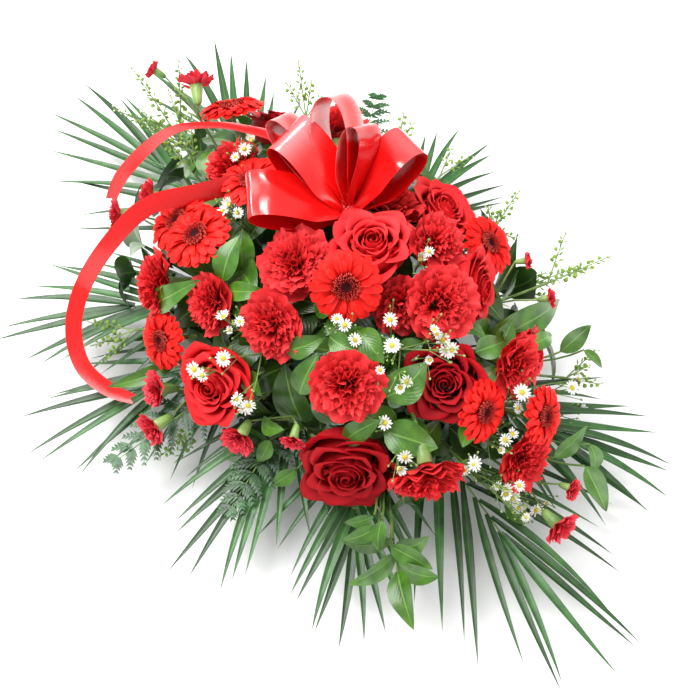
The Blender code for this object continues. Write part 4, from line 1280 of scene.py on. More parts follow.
def fern_piece(name, place, pinnae, finishes):
    """A leathery fern frond: side branches cut into small pointed lobes in two ranks."""
    rng = random.Random(name)
    frame_of, length = frond_frame(place)
    bm = new_bmesh()
    add_frond_stalk(bm, frame_of, length * FERN_STALK_END, FERN_STALK)
    for side in (-1, 1):
        for number in range(pinnae):
            share = number / (pinnae - 1)
            angle = math.radians(mix(*FERN_SPREAD, share) + rng.uniform(-4, 4))
            way = Vector((math.cos(angle), math.sin(angle) * side))
            root = Vector((length * mix(FERN_RIB_START, FERN_RIB_END, share), 0.0))
            span = length * mix(*FERN_SPANS, share**1.2) * rng.uniform(0.9, 1.05)
            add_fern_branch(bm, frame_of, root, way, span, rng)
    return finished(bm, name, finishes, "fern_leaf", name)


def add_fern_branch(bm, frame_of, root, way, span, rng):
    """One side branch of a fern: its rib and the lobes on both sides of it."""
    lift = rng.uniform(0.000, 0.006)
    turn = Vector((-way.y, way.x))
    lobes = max(LOBES_LEAST, round(span / LOBE_PITCH))
    rise = PINNA_RAISED + lift * 0.5
    form = fern_pinnule(frame_of, root, way, span * 0.98, PINNA_RIB, rise, PINNA_DROOP)
    add_sheet(bm, 2, 6, form, 0.5)
    for lobe in range(lobes):
        reach = (lobe + 0.6) / (lobes + 0.4)
        start = root + way * span * reach
        size = LOBE_SIZE * (1 - 0.80 * reach) * (0.6 + 0.4 * min(1.0, 6 * reach)) + 0.0008
        rise = PINNA_RAISED + lift * math.sin(math.pi * reach) - PINNA_DROOP * reach**2
        for hand in (-1, 1):
            out = (way * 0.74 + turn * hand * 0.67).normalized()
            form = fern_pinnule(frame_of, start, out, size, 0.0008 + 0.46 * size, rise, 0.001)
            add_sheet(bm, 2, 3, form, rng.random())


# Broad leaves


LEAF_GRID = (6, 10)
LEAFY_TAPER = 0.6
LEAF_TINTS = (0.55, 1.0)
# The leaves low in the dome: their heights as shares of it, their depths in it (the least, then the
# most at its foot and higher up), lengths, widths as shares of the length, and tints, kept dark as painted
# shade
DEEP_HEIGHTS = (0.06, 0.99)
DEEP_LEAST = 0.62
DEEP_MOST = (0.88, 0.82)
DEEP_LENGTHS = (0.044, 0.070)
DEEP_WIDTHS = (0.50, 0.62)
DEEP_PAINTED_SHADE_TINTS = (0.0, 0.35)
DEEP_STALK_EVERY = 4


def broad_leaf(base, tip, width, face, rng):
    """The form of one glossy pointed leaf, arched and folded along its midrib."""
    run = tip - base
    side_way = run.cross(face).normalized()
    up = side_way.cross(run).normalized()
    fold = rng.uniform(0.12, 0.30)
    arch = rng.uniform(0.06, 0.16) * run.length
    wave = rng.uniform(0, math.tau)
    bow = rng.uniform(-0.08, 0.08) * run.length
    twist = rng.uniform(-0.35, 0.35)

    def form(side, along):
        half = width * 0.58 * math.sin(math.pi * along**0.80) ** 0.85 * (1 - 0.15 * along)
        out = side_way * math.cos(twist * along) + up * math.sin(twist * along)
        place = base + run * along + out * (side * half) + side_way * bow * math.sin(math.pi * along)
        ripple = 0.05 * width * math.sin(7 * along + wave + side) * abs(side)
        place = place + up * (fold * abs(side) ** 1.5 * half + arch * math.sin(math.pi * along) + ripple)
        return place, 0.3 + 0.5 * along

    return form


def add_leaf(bm, base, tip, width, face, rng, tints_and_painted_shade=LEAF_TINTS):
    """Adds one broad leaf with a darkening of its own, which on the deep leaves is painted shade."""
    add_sheet(bm, *LEAF_GRID, broad_leaf(base, tip, width, face, rng), rng.uniform(*tints_and_painted_shade))


def add_sprig_stem(bm, end, taper=1.0):
    """The stem of a sprig, from the foam to its fork or its last leaf, where it is taper times as thick."""
    axis = (end - Vector((AIM_ALONG * end.x, AIM_ACROSS * end.y, AIM_HEIGHT))).normalized()
    points = stem_path(end, axis, end)
    count = len(points)
    add_rod(bm, points, [SPRIG_STEM * mix(1.0, taper, number / count) for number in range(count)])
    return points


def leafy_piece(name, end, leaves, finishes):
    """A stem whose broad leaves leave it one above the other."""
    rng = random.Random(name)
    bm = new_bmesh()
    points = add_sprig_stem(bm, Vector(end), LEAFY_TAPER)
    for number, (tip, width) in enumerate(leaves):
        tip = Vector(tip)
        base = points[-1].lerp(points[-4], 0.06 + 0.8 * number / len(leaves))
        face = Vector((0.6 * tip.x, tip.y, tip.z - 0.02)).normalized()
        add_leaf(bm, base, tip, width, face, rng)
    return finished(bm, name, finishes, "broad_leaf", name)


def add_leaf_stalk(bm, base):
    """A thin stalk from a leaf down into the foam."""
    axis = (outward(base) + UP * 0.4).normalized()
    points = stem_path(base, axis, base)
    add_rod(bm, points, [LEAF_STALK] * len(points), 1, 5)


def filling_leaves(name, finishes):
    """The broad leaves seen between the flowers and past the edge of the dome."""
    rng = random.Random(name)
    bm = new_bmesh()
    back = view_axes()[2]
    for base, tip, width in seen_leaves():
        face = (outward((base + tip) / 2) + back * 0.7).normalized()
        add_leaf(bm, base, tip, width, face, rng)
        add_leaf_stalk(bm, base)
    return finished(bm, name, finishes, "broad_leaf")


def deep_leaves(name, finishes, count):
    """Leaves low among the stems, spread evenly round the dome."""
    rng = random.Random(name)
    bm = new_bmesh()
    for number in range(count):
        height = mix(*DEEP_HEIGHTS, (number + 0.5) / count)
        bearing = number * GOLDEN_TURN
        low = min(1.0, height * 3)
        way = around(math.sqrt(1 - height**2), bearing, height)
        depth = rng.uniform(DEEP_LEAST, mix(*DEEP_MOST, low))
        base = DOME_CENTRE + Vector([w * a * depth for w, a in zip(way, DOME_AXES)])
        face = outward(base)
        along = face.orthogonal().normalized()
        along.rotate(Matrix.Rotation(rng.uniform(0, math.tau), 3, face))
        along = (along + face * 0.15).normalized()
        length = rng.uniform(*DEEP_LENGTHS) * mix(0.70, 1.0, low)
        if base.z + along.z * length < FOAM_TOP / 2:
            along.z = abs(along.z)
        wide = length * rng.uniform(*DEEP_WIDTHS)
        add_leaf(bm, base, base + along * length, wide, face, rng, DEEP_PAINTED_SHADE_TINTS)
        if number % DEEP_STALK_EVERY == 0:
            add_leaf_stalk(bm, base)
    return finished(bm, name, finishes, "broad_leaf")


# Daisies and seed sprigs


def daisy_petal(turn, cup, rng):
    """The form of one narrow white ray petal, raised when the daisy is half closed."""
    reach = rng.uniform(0.85, 1.05)
    lift = cup + rng.uniform(-0.12, 0.12)
    shut = 1 - 0.45 * max(0.0, cup)

    def form(side, along):
        run = 0.20 + (reach * shut - 0.20) * along
        wide = 0.115 * min(1.0, 0.5 + along) * math.sqrt(max(0.0, 1 - (along * 1.02) ** 6))
        z = 0.02 + lift * along + 0.05 * math.sin(math.pi * along) - 0.03 * side**2
        point = Vector((run, side * wide, z))
        return Matrix.Rotation(turn, 3, "Z") @ point, 0.2 + 0.8 * along

    return form


DAISY_HEART = (
    (0.30, 0.02, 0.4), (0.29, 0.10, 0.6), (0.22, 0.19, 0.8), (0.12, 0.25, 1.0), (0.00, 0.27, 1.0),
)
DAISY_CUP = ((0.00, -0.34, 0.4), (0.10, -0.33, 0.4), (0.22, -0.18, 0.5), (0.27, 0.02, 0.6))
BUD = (
    (0.00, -0.30, 0.2), (0.16, -0.24, 0.3), (0.24, -0.05, 0.5),
    (0.20, 0.16, 0.8), (0.10, 0.30, 1.0), (0.00, 0.34, 1.0),
)
BUDS_BY_DAISY = 4
BUD_SIZE = 0.0046


def daisy_head(seed, cup):
    """A daisy whose rays are raised by cup."""
    rng = random.Random(seed)
    bm = new_bmesh()
    count = rng.randint(12, 17)
    for index in range(count):
        turn = math.tau * (index + rng.uniform(-0.25, 0.25)) / count
        add_sheet(bm, 2, 5, daisy_petal(turn, cup, rng), rng.random())
    add_turned(bm, DAISY_HEART, 12, 2)
    add_turned(bm, DAISY_CUP, 10, 1)
    return bm


def bud_head():
    """A small green bud."""
    bm = new_bmesh()
    add_turned(bm, BUD, 7, 1, 0.8)
    return bm


def daisy_piece(name, fork, daisies, templates, bud, finishes, width, *nodes):
    """Daisies and small buds, each on its own branch of one stem."""
    rng = random.Random(name)
    fork = Vector(fork)
    bm = new_bmesh()
    add_sprig_stem(bm, fork)
    for place in daisies:
        place = Vector(place)
        way = (place - fork).normalized()
        stray = Vector([rng.uniform(-0.5, 0.5) for _ in range(3)])
        face = (way + view_axes()[2] * 0.4 + UP * 0.3 + stray).normalized()
        size = width / 2 * rng.uniform(0.62, 1.10)
        bend = fork.lerp(place, 0.55) + way.orthogonal() * rng.uniform(-0.003, 0.003)
        back = place - face * size * 0.33
        add_rod(bm, (fork, bend, back), (BRANCH, BRANCH * 0.7, BRANCH * 0.6), 1, 5)
        add_copy(bm, rng.choice(templates), facing_matrix(place, face, rng.uniform(0, 6), size))
        for _ in range(BUDS_BY_DAISY):
            drift = Vector([rng.uniform(-0.013, 0.013) for _ in range(3)])
            spot = bend.lerp(place, 0.9) + drift
            add_rod(bm, (bend, spot), (BRANCH * 0.5, BRANCH * 0.4), 1, 4)
            add_copy(bm, bud, facing_matrix(spot, (spot - bend).normalized(), 0.0, BUD_SIZE))
    return finished(bm, name, finishes, "daisy_petal", *nodes)


POD = (
    (0.00, -0.50, 0.3), (0.30, -0.36, 0.5), (0.48, -0.05, 0.8),
    (0.44, 0.22, 0.9), (0.22, 0.44, 0.9), (0.00, 0.40, 0.7),
)

# How far apart the pods sit on a branch, and the share of it from which pale flowers take their place
POD_PITCH = 0.0032
TIPS_FROM = 0.86
# Stalks and pods from the foot of a branch to its end, and the size of a flower there
POD_STALKS = (0.0075, 0.0032)
POD_SIZES = (0.0058, 0.0036)
TIP_SIZE = 0.0036


def pod_head():
    """A flat green seed pod."""
    bm = new_bmesh()
    add_turned(bm, POD, 6, 0, 0.5)
    bmesh.ops.scale(bm, vec=(1.0, 0.34, 1.0), verts=bm.verts)
    return bm


def tip_head():
    """The small pale flower at the end of a seed sprig."""
    bm = new_bmesh()
    add_turned(bm, BUD, 6, 2, 0.8, 0.35, 3)
    return bm


def seed_branch(bm, fork, end, pod, tip, rng):
    """One branch with flat pods on short stalks all along it, and pale flowers at its end."""
    way = (end - fork).normalized()
    length = (end - fork).length
    sag = Vector((way.x, way.y, 0.0)) * 0.05 * length
    curve = (fork, fork.lerp(end, 0.33) - sag, fork.lerp(end, 0.66) - sag, end)
    shares = [step / BRANCH_STEPS for step in range(BRANCH_STEPS + 1)]
    points = [bezier(curve, share) for share in shares]
    add_rod(bm, points, [mix(BRANCH, BRANCH * 0.5, share) for share in shares], 1, 5)
    count = max(10, round(length / POD_PITCH))
    side = way.orthogonal().normalized()
    for number in range(count):
        share = mix(0.30, 0.99, number / (count - 1))
        spot = bezier(curve, share)
        out = side.copy()
        out.rotate(Matrix.Rotation(number * GOLDEN_TURN, 3, way))
        out = (out + way * mix(0.5, 1.1, share)).normalized()
        reach = mix(*POD_STALKS, share) * rng.uniform(0.8, 1.15)
        top = spot + out * reach
        add_rod(bm, (spot, top), (0.00028, 0.00024), 1, 4)
        if share > TIPS_FROM:
            add_copy(bm, tip, facing_matrix(top, out, 0.0, TIP_SIZE))
        else:
            size = mix(*POD_SIZES, share)
            add_copy(bm, pod, facing_matrix(top, out, rng.uniform(0, 3), size))


def seed_piece(name, fork, ends, pod, tip, finishes, *nodes):
    """A branching sprig of flat green seed pods."""
    rng = random.Random(name)
    fork = Vector(fork)
    bm = new_bmesh()
    add_sprig_stem(bm, fork)
    for end in ends:
        seed_branch(bm, fork, Vector(end), pod, tip, rng)
    return finished(bm, name, finishes, "seed_pod", *nodes)


# The bow


# How narrow a loop is at the knot, and how soon it opens to the ribbon's own width
LOOP_PINCH = 0.34
LOOP_OPENING = 2.6

# Faces of the ribbon: across it, along a loop and along a free end
RIBBON_COLUMNS = 16
LOOP_ROWS = 44
TAIL_ROWS = 90

# The gathered knot: the way it lies, its rows, and the narrow ribbon tied round it
KNOT_WAY = (0.30, -0.70, 0.60)
# Rows of the knot: radius, height and a low shade value, painted shade on the gathered ribbon
KNOT_ROWS = (
    (0.00, -1.00, 0.3), (0.55, -0.95, 0.4), (0.95, -0.55, 0.5), (0.80, 0.00, 0.3),
    (0.95, 0.55, 0.5), (0.55, 0.95, 0.4), (0.00, 1.00, 0.3),
)
TIE_RADIUS = 0.0088
TIE_THICKNESS = 0.0016
TIE_STEPS = 16


def ribbon_piece(name, row_at, width_at, shade_at, rows, settings, finishes, flat, held):
    """One length of ribbon: row_at gives the middle, the crosswise way and the lift of each row."""
    bm = new_bmesh()

    def form(side, along):
        place, cross, normal, cup = row_at(along, side)
        wide = width_at(along) / 2
        return place + cross * side * wide + normal * cup, shade_at(along)

    add_sheet(bm, RIBBON_COLUMNS, rows, form, 0.5)
    for edge in bm.edges:
        edge.smooth = not edge.is_boundary
    obj = finished(bm, name, finishes, "ribbon", "bow")
    wall = obj.modifiers.new("Thickness", "SOLIDIFY")
    wall.thickness = settings.ribbon_thickness
    wall.offset = 0
    return obj


def path_length(points):
    """The length of the path through the points."""
    return sum((second - first).length for first, second in zip(points, points[1:]))


def loop_piece(number, end, across, height, shades, settings, finishes):
    """One loop of the bow: out from the knot along its foot, round, and back over the top."""
    knot = Vector(BOW_HEART)
    run = Vector(end) - knot
    side = Vector(across)
    side = (side - run * side.dot(run) / run.length_squared).normalized()
    up = side.cross(run).normalized()
    rng = random.Random(number)
    pleat = rng.uniform(0, math.tau)

    def middle(along):
        turn = math.tau * along
        out = (1 - math.cos(turn)) / 2
        return knot + run * out - up * height / 2 * math.sin(turn) * out**0.5

    def row_at(along, across_side):
        out = (1 - math.cos(math.tau * along)) / 2
        near = 1 - min(1.0, out * LOOP_OPENING)
        cup = 0.0024 * near * math.sin(7 * across_side + pleat)
        cup += 0.0012 * out * (1 - across_side**2) + 0.0008 * math.sin(3 * across_side + 9 * along)
        return middle(along), side, up if along > 0.5 else -up, cup

    def width_at(along):
        out = (1 - math.cos(math.tau * along)) / 2
        return settings.ribbon_width * mix(LOOP_PINCH, 1.0, min(1.0, out * LOOP_OPENING))

    # Painted shade at the loop's foot, and a painted highlight band at its fold
    def shade_at(along):
        shade = mix(shades[0], shades[1], min(1.0, max(0.0, (along - 0.40) * 5)))
        return mix(shade, shades[2], math.exp(-(((along - 0.58) / 0.07) ** 2)))

    flat = (settings.ribbon_width, path_length([middle(step / 60) for step in range(61)]))
    forms = (row_at, width_at, shade_at)
    return ribbon_piece(f"bow_loop_{number}", *forms, LOOP_ROWS, settings, finishes, flat, "folded")


def smooth_path(points, share):
    """A smooth curve through the points, at this share of its length in points."""
    place = share * (len(points) - 1)
    number = min(len(points) - 2, int(place))
    rest = place - number
    first, second = points[number], points[number + 1]
    before = points[max(0, number - 1)]
    after = points[min(len(points) - 1, number + 2)]
    curve = (first, first + (second - before) / 6, second - (after - first) / 6, second)
    return bezier(curve, rest)


def stepped(values, share):
    """The value at this share of the way along evenly spaced values."""
    place = share * (len(values) - 1)
    number = min(len(values) - 2, int(place))
    return mix(values[number], values[number + 1], place - number)


def tail_piece(number, points, width, turns, shades, settings, finishes):
    """One free end of the ribbon, with a forked cut."""
    path = [Vector(point) for point in (BOW_HEART, *points)]
    face = Vector(RIBBON_FACE)
    down = -view_axes()[1]
    if number == 1:
        for point, drop in zip(path[1:], TAIL_DROP):
            point += (0.6 * down - face).normalized() * drop
    length = path_length([smooth_path(path, step / 80) for step in range(81)])
    notch = 0.6 * width / length

    def row_at(along, side):
        share = along * (1 - notch * (1 - abs(side)) * along**8)
        place = smooth_path(path, share)
        after = smooth_path(path, min(1.0, share + 0.01))
        before = smooth_path(path, max(0.0, share - 0.01))
        cross = (after - before).cross(face + down * 0.45 * (1 - share)).normalized()
        return place, cross, face, 0.0010 * (1 - side**2) * math.sin(5 * along)

    def width_at(along):
        return width * stepped(turns, along)

    # Painted shade, darkest by the knot
    def shade_at(along):
        return mix(*shades, along)

    flat = (width, length)
    forms = (row_at, width_at, shade_at)
    return ribbon_piece(f"ribbon_tail_{number}", *forms, TAIL_ROWS, settings, finishes, flat, "hung")


def knot_piece(finishes):
    """The gathered middle of the bow, tied with a narrow ribbon, on the pick that holds it."""
    knot = Vector(BOW_HEART)
    way = Vector(KNOT_WAY).normalized()
    gathered = new_bmesh()
    add_turned(gathered, KNOT_ROWS, 28, 0, 0.5, 0.12, 7)
    bm = new_bmesh()
    add_copy(bm, template_of(gathered, "gathered"), facing_matrix(knot, way, 0.0, KNOT_RADIUS))
    first = way.orthogonal().normalized() * TIE_RADIUS
    second = way.cross(first)
    turns = [math.tau * step / TIE_STEPS for step in range(TIE_STEPS + 1)]
    ring = [knot + first * math.cos(turn) + second * math.sin(turn) for turn in turns]
    add_rod(bm, ring, [TIE_THICKNESS] * len(ring), 0)
    entry = Vector((*PICK_FOOT, FOAM_TOP - STEM_DEPTH))
    add_rod(bm, [entry, entry.lerp(knot, 0.5), knot], [PICK_RADIUS] * 3, 1, 8)
    return finished(bm, "bow_knot", finishes, "ribbon", "bow")


# Settings


def colour_setting(name, description, default):
    """A colour property."""
    return FloatVectorProperty(
        name=name, description=description, default=default, subtype="COLOR", min=0.0, max=1.0
    )


def count_setting(name, description, default, least, most):
    """A whole number property."""
    return IntProperty(name=name, description=description, default=default, min=least, max=most)


def size_setting(name, description, default):
    """A length property, in metres."""
    return FloatProperty(name=name, description=description, default=default, unit="LENGTH")


def power_setting(name, description, default):
    """A light power property, in watts."""
    return FloatProperty(name=name, description=description, default=default, unit="POWER")


class SPRAY_PG_blooms(bpy.types.PropertyGroup):
    """Petals and colours of the flowers."""

    rose_petals: count_setting("Rose petals", "Petals in one rose", 27, 12, 50)
    petal_columns: count_setting("Petal columns", "Faces across a carnation petal", 20, 8, 32)
    petal_rows: count_setting("Petal rows", "Faces along a carnation petal", 8, 4, 16)
    # On roses and carnations the deep reds, at a petal's base, are painted shade, and the rim reds also
    # carry painted highlight
    rose_red: colour_setting("Rose red", "Rim of a rose petal", (1.000, 0.030, 0.036))
    rose_deep: colour_setting("Deep rose red", "Base of a rose petal", (0.500, 0.002, 0.006))
    velvet_red: colour_setting("Velvet red", "Rim of the darkest roses", (0.640, 0.008, 0.016))
    carnation_red: colour_setting("Carnation red", "Rim of a carnation petal", (1.000, 0.050, 0.056))
    carnation_deep: colour_setting("Deep carnation red", "Base of a carnation petal", (0.360, 0.001, 0.004))
    spray_red: colour_setting("Spray carnation red", "Rim of a small head's petal", (1.000, 0.075, 0.110))
    gerbera_red: colour_setting("Gerbera red", "Tip of a gerbera petal", (1.000, 0.014, 0.010))
    gerbera_heart: colour_setting("Gerbera heart", "Middle of a gerbera", (0.035, 0.001, 0.002))
    floret_tip: colour_setting("Floret tip", "Specks round a gerbera's middle", (0.800, 0.160, 0.120))
    calyx_green: colour_setting("Calyx green", "Cup under a flower", (0.400, 0.580, 0.160))
    stem_green: colour_setting("Stem green", "Stems", (0.100, 0.240, 0.040))


class SPRAY_PG_foliage(bpy.types.PropertyGroup):
    """Sizes and colours of fronds, leaves, daisies and seed sprigs."""

    palm_leaflets: count_setting("Palm leaflets", "Leaflets on each side of a frond", 7, 5, 20)
    palm_width: size_setting("Palm leaflet width", "Width of a leaflet", 0.0092)
    fern_pinnae: count_setting("Fern branches", "Side branches on each side of a fern", 9, 6, 20)
    daisy_width: size_setting("Daisy width", "Width of a daisy", 0.0165)
    deep_leaves: count_setting("Deep leaves", "Leaves low among the stems", 230, 0, 400)
    palm_dark: colour_setting("Palm dark green", "Darker part of a palm leaflet", (0.018, 0.080, 0.016))
    palm_light: colour_setting("Palm green", "Lighter part of a palm leaflet", (0.052, 0.180, 0.034))
    palm_rib: colour_setting("Palm rib", "Midrib of a palm leaflet", (0.150, 0.340, 0.100))
    fern_dark: colour_setting("Fern dark green", "Darker part of a fern", (0.006, 0.058, 0.008))
    fern_light: colour_setting("Fern green", "Lighter part of a fern", (0.028, 0.160, 0.022))
    leaf_dark: colour_setting("Leaf dark green", "Darker part of a broad leaf", (0.034, 0.115, 0.010))
    leaf_light: colour_setting("Leaf green", "Lighter part of a broad leaf", (0.105, 0.270, 0.024))
    leaf_rib: colour_setting("Leaf rib", "Veins of a broad leaf", (0.230, 0.450, 0.080))
    pod_green: colour_setting("Pod green", "Seed pods", (0.200, 0.330, 0.060))
    daisy_white: colour_setting("Daisy white", "Rays of a daisy", (0.860, 0.860, 0.800))
    daisy_yellow: colour_setting("Daisy yellow", "Middle of a daisy", (0.640, 0.520, 0.050))


class SPRAY_PG_ribbon(bpy.types.PropertyGroup):
    """Size and colours of the ribbon."""

    ribbon_width: size_setting("Ribbon width", "Width of the ribbon in the loops", 0.050)
    ribbon_thickness: size_setting("Ribbon thickness", "Thickness of the ribbon", 0.0003)
    # The inside colour is painted shade, and the pale colour painted highlight and glow
    ribbon_deep: colour_setting("Ribbon inside", "Shaded inner face of a loop", (0.420, 0.001, 0.002))
    ribbon_red: colour_setting("Ribbon red", "Outer face", (0.860, 0.006, 0.006))
    ribbon_painted_highlight: colour_setting("Pale ribbon", "Where light passes the ribbon", (0.950, 0.220, 0.230))


class SPRAY_PG_holder(bpy.types.PropertyGroup):
    """Colours of the foam and its tray."""

    foam_green: colour_setting("Foam green", "Wet foam", (0.020, 0.075, 0.030))
    foam_dark: colour_setting("Foam dark green", "Pores of the foam", (0.010, 0.045, 0.018))
    tray_green: colour_setting("Tray green", "Moulded tray", (0.012, 0.050, 0.022))


class SPRAY_PG_stage(bpy.types.PropertyGroup):
    """The floor, the light and the camera."""

    floor_size: size_setting("Floor size", "Side of the floor", 9.0)
    floor_colour: colour_setting("Floor", "Colour of the floor", (0.900, 0.900, 0.900))
    key_power: power_setting("Key light", "Power of the main softbox", 57.0)
    fill_power: power_setting("Fill light", "Power of the second softbox", 20.0)
    back_power: power_setting("Back light", "Power of the light behind", 8.0)
    strip_power: power_setting("Strip light", "Power of the narrow light", 6.0)
    sky_strength: FloatProperty(name="Room light", description="Strength of the even light", default=0.72)

# The finishes that several pieces share: their settings and colours, then how leaf_finish treats them
SHARED_FINISHES = {
    "Stem": ("spray_blooms", ("stem_green", "calyx_green", "calyx_green"), (0.45, 9.0, 0.0, True)),
    "Broad leaf": ("spray_foliage", ("leaf_dark", "leaf_light", "leaf_rib"), (0.28, 9.0, 9.0)),
    "Palm leaf": ("spray_foliage", ("palm_dark", "palm_light", "palm_rib"), (0.36, 9.0, 0.0, True)),
    "Fern leaf": ("spray_foliage", ("fern_dark", "fern_light", "palm_rib"), (0.34, 5.0, 3.0)),
}


def shared_finish(context, name):
    """A finish that several pieces share, made at its first use."""
    made = bpy.data.materials.get(name)
    if made is None:
        group, colours, skin = SHARED_FINISHES[name]
        settings = getattr(context.scene, group)
        made = leaf_finish(name, *(getattr(settings, colour) for colour in colours), *skin)
    return made


def scaled(colour, share):
    """The colour made darker or lighter."""
    return tuple(min(1.0, part * share) for part in colour)


def between(first, second, share):
    """The colour this far from the first to the second."""
    return tuple(mix(*parts, share) for parts in zip(first, second))


# Operators


ROSE_SEED = 4
CARNATION_SEEDS = range(5)
GERBERA_SEEDS = range(4)
SPRAY_SEEDS = range(20, 24)
# How far each kind of daisy is shut, from 0 to 1
DAISY_CUPS = (0.05, 0.20, 0.45, 0.80, 0.10)


class SPRAY_OT_roses(bpy.types.Operator):
    """Give every rose its petals, hip and stem"""

    bl_idname = "flower_spray.roses"
    bl_label = "Roses"

    def execute(self, context):
        settings = context.scene.spray_blooms
        bright = settings.rose_red
        deep = settings.rose_deep
        velvet = settings.velvet_red
        red = petal_finish("Rose petal", deep, between(deep, bright, 0.62), bright, 0.50, 0.15, 26.0)
        dark_red = petal_finish(
            "Velvet rose petal", scaled(deep, 0.45), scaled(velvet, 0.62), velvet, 0.55, 0.40, 26.0
        )
        stem = shared_finish(context, "Stem")
        for number, (name, blooms) in enumerate(ROSES.items()):
            head = template_of(rose_head(settings.rose_petals, number + ROSE_SEED), name + "_head")
            finishes = [dark_red if name in VELVET_ROSES else red, stem]
            bloom_piece(name, blooms, [head], *ROSE_BUILD, finishes, "rose_petal")
        return {"FINISHED"}


class SPRAY_OT_carnations(bpy.types.Operator):
    """Give every carnation its ruffled petals, calyx and stem"""

    bl_idname = "flower_spray.carnations"
    bl_label = "Carnations"

    def execute(self, context):
        settings = context.scene.spray_blooms
        bright = settings.carnation_red
        deep = settings.carnation_deep
        red = petal_finish("Carnation petal", deep, between(deep, bright, 0.60), bright, 0.55, 0.20, 22.0)
        grid = (settings.petal_columns, settings.petal_rows)
        form = (CARNATION_RINGS, CARNATION_MIDDLE, grid, CARNATION_CALYX)
        heads = [
            template_of(carnation_head(seed, *form), f"carnation_head_{seed}") for seed in CARNATION_SEEDS
        ]
        finishes = [red, shared_finish(context, "Stem")]
        for name, blooms in CARNATIONS.items():
            bloom_piece(name, blooms, heads, *CARNATION_BUILD, finishes, "carnation_petal")
        return {"FINISHED"}


class SPRAY_OT_gerberas(bpy.types.Operator):
    """Give every gerbera its strap petals, heart and stem"""

    bl_idname = "flower_spray.gerberas"
    bl_label = "Gerberas"

    def execute(self, context):
        settings = context.scene.spray_blooms
        bright = settings.gerbera_red
        red = petal_finish(
            "Gerbera petal", scaled(bright, 0.60), scaled(bright, 0.88), bright, 0.50, 0.12, 8.0
        )
        heart = petal_finish(
            "Gerbera heart", settings.gerbera_heart, scaled(bright, 0.5), settings.floret_tip, 0.8, 0.0, 4.0
        )
        heads = [template_of(gerbera_head(seed), f"gerbera_head_{seed}") for seed in GERBERA_SEEDS]
        finishes = [red, shared_finish(context, "Stem"), heart]
        for name, blooms in GERBERAS.items():
            bloom_piece(name, blooms, heads, *GERBERA_BUILD, finishes, "gerbera_petal")
        return {"FINISHED"}


class SPRAY_OT_spray_carnations(bpy.types.Operator):
    """Give every spray carnation its forked stem and small heads"""

    bl_idname = "flower_spray.spray_carnations"
    bl_label = "Spray carnations"

    def execute(self, context):
        settings = context.scene.spray_blooms
        bright = settings.spray_red
        deep = settings.carnation_deep
        half_way = between(deep, bright, 0.70)
        red = petal_finish("Spray carnation petal", deep, half_way, bright, 0.55, 0.20, 18.0)
        form = (SPRAY_RINGS, SPRAY_MIDDLE, SPRAY_GRID, SPRAY_CALYX)
        heads = [template_of(carnation_head(seed, *form), f"spray_head_{seed}") for seed in SPRAY_SEEDS]
        finishes = [red, shared_finish(context, "Stem")]
        for name, blooms in SPRAY_CARNATIONS.items():
            spray_piece(name, blooms, heads, finishes)
        return {"FINISHED"}


class SPRAY_OT_palms(bpy.types.Operator):
    """Give every palm frond its folded leaflets"""

    bl_idname = "flower_spray.palms"
    bl_label = "Palm fronds"

    def execute(self, context):
        settings = context.scene.spray_foliage
        finishes = [shared_finish(context, "Palm leaf"), shared_finish(context, "Stem")]
        for name, place in PALMS.items():
            palm_piece(name, place, settings.palm_leaflets, settings.palm_width, finishes)
        return {"FINISHED"}


class SPRAY_OT_ferns(bpy.types.Operator):
    """Give every fern its lobed side branches"""

    bl_idname = "flower_spray.ferns"
    bl_label = "Ferns"

    def execute(self, context):
        settings = context.scene.spray_foliage
        finishes = [shared_finish(context, "Fern leaf"), shared_finish(context, "Stem")]
        for name, place in FERNS.items():
            fern_piece(name, place, settings.fern_pinnae, finishes)
        return {"FINISHED"}


class SPRAY_OT_broad_leaves(bpy.types.Operator):
    """Make the leafy sprigs, and the leaves between and behind the flowers"""

    bl_idname = "flower_spray.broad_leaves"
    bl_label = "Broad leaves"

    def execute(self, context):
        finishes = [shared_finish(context, "Broad leaf"), shared_finish(context, "Stem")]
        for name, sprig in LEAFY_SPRIGS.items():
            leafy_piece(name, *sprig, finishes)
        filling_leaves("filling_leaves", finishes)
        deep_leaves("deep_leaves", finishes, context.scene.spray_foliage.deep_leaves)
        return {"FINISHED"}


class SPRAY_OT_daisies(bpy.types.Operator):
    """Make the small white daisies and their buds"""

    bl_idname = "flower_spray.daisies"
    bl_label = "Daisies"

    def execute(self, context):
        settings = context.scene.spray_foliage
        white = settings.daisy_white
        yellow = settings.daisy_yellow
        ray = petal_finish("Daisy petal", (0.62, 0.66, 0.42), white, white, 0.55, 0.1, 6.0)
        heart = petal_finish("Daisy heart", (0.30, 0.26, 0.02), yellow, yellow, 0.6, 0.1, 4.0)
        finishes = [ray, shared_finish(context, "Stem"), heart]
        heads = [
            template_of(daisy_head(seed, cup), f"daisy_head_{seed}")
            for seed, cup in enumerate(DAISY_CUPS)
        ]
        bud = template_of(bud_head(), "bud_head")
        for name, (fork, daisies) in DAISY_SPRAYS.items():
            daisy_piece(name, fork, daisies, heads, bud, finishes, settings.daisy_width, name)
        balls = bloom_balls()
        for number, (pixels, depth) in enumerate(FILLING_DAISIES):
            daisies = [lifted_clear(on_dome(pixel, depth), balls, DAISY_MARGIN) for pixel in pixels]
            for daisy in daisies:
                daisy.z = max(daisy.z, FLOOR_ROOM)
            middle = sum(daisies, Vector()) / len(daisies)
            fork = middle - outward(middle) * DAISY_FORK
            fork.z = max(fork.z, FLOOR_ROOM)
            name = f"filling_daisies_{number + 1}"
            daisy_piece(name, fork, daisies, heads, bud, finishes, settings.daisy_width)
        return {"FINISHED"}


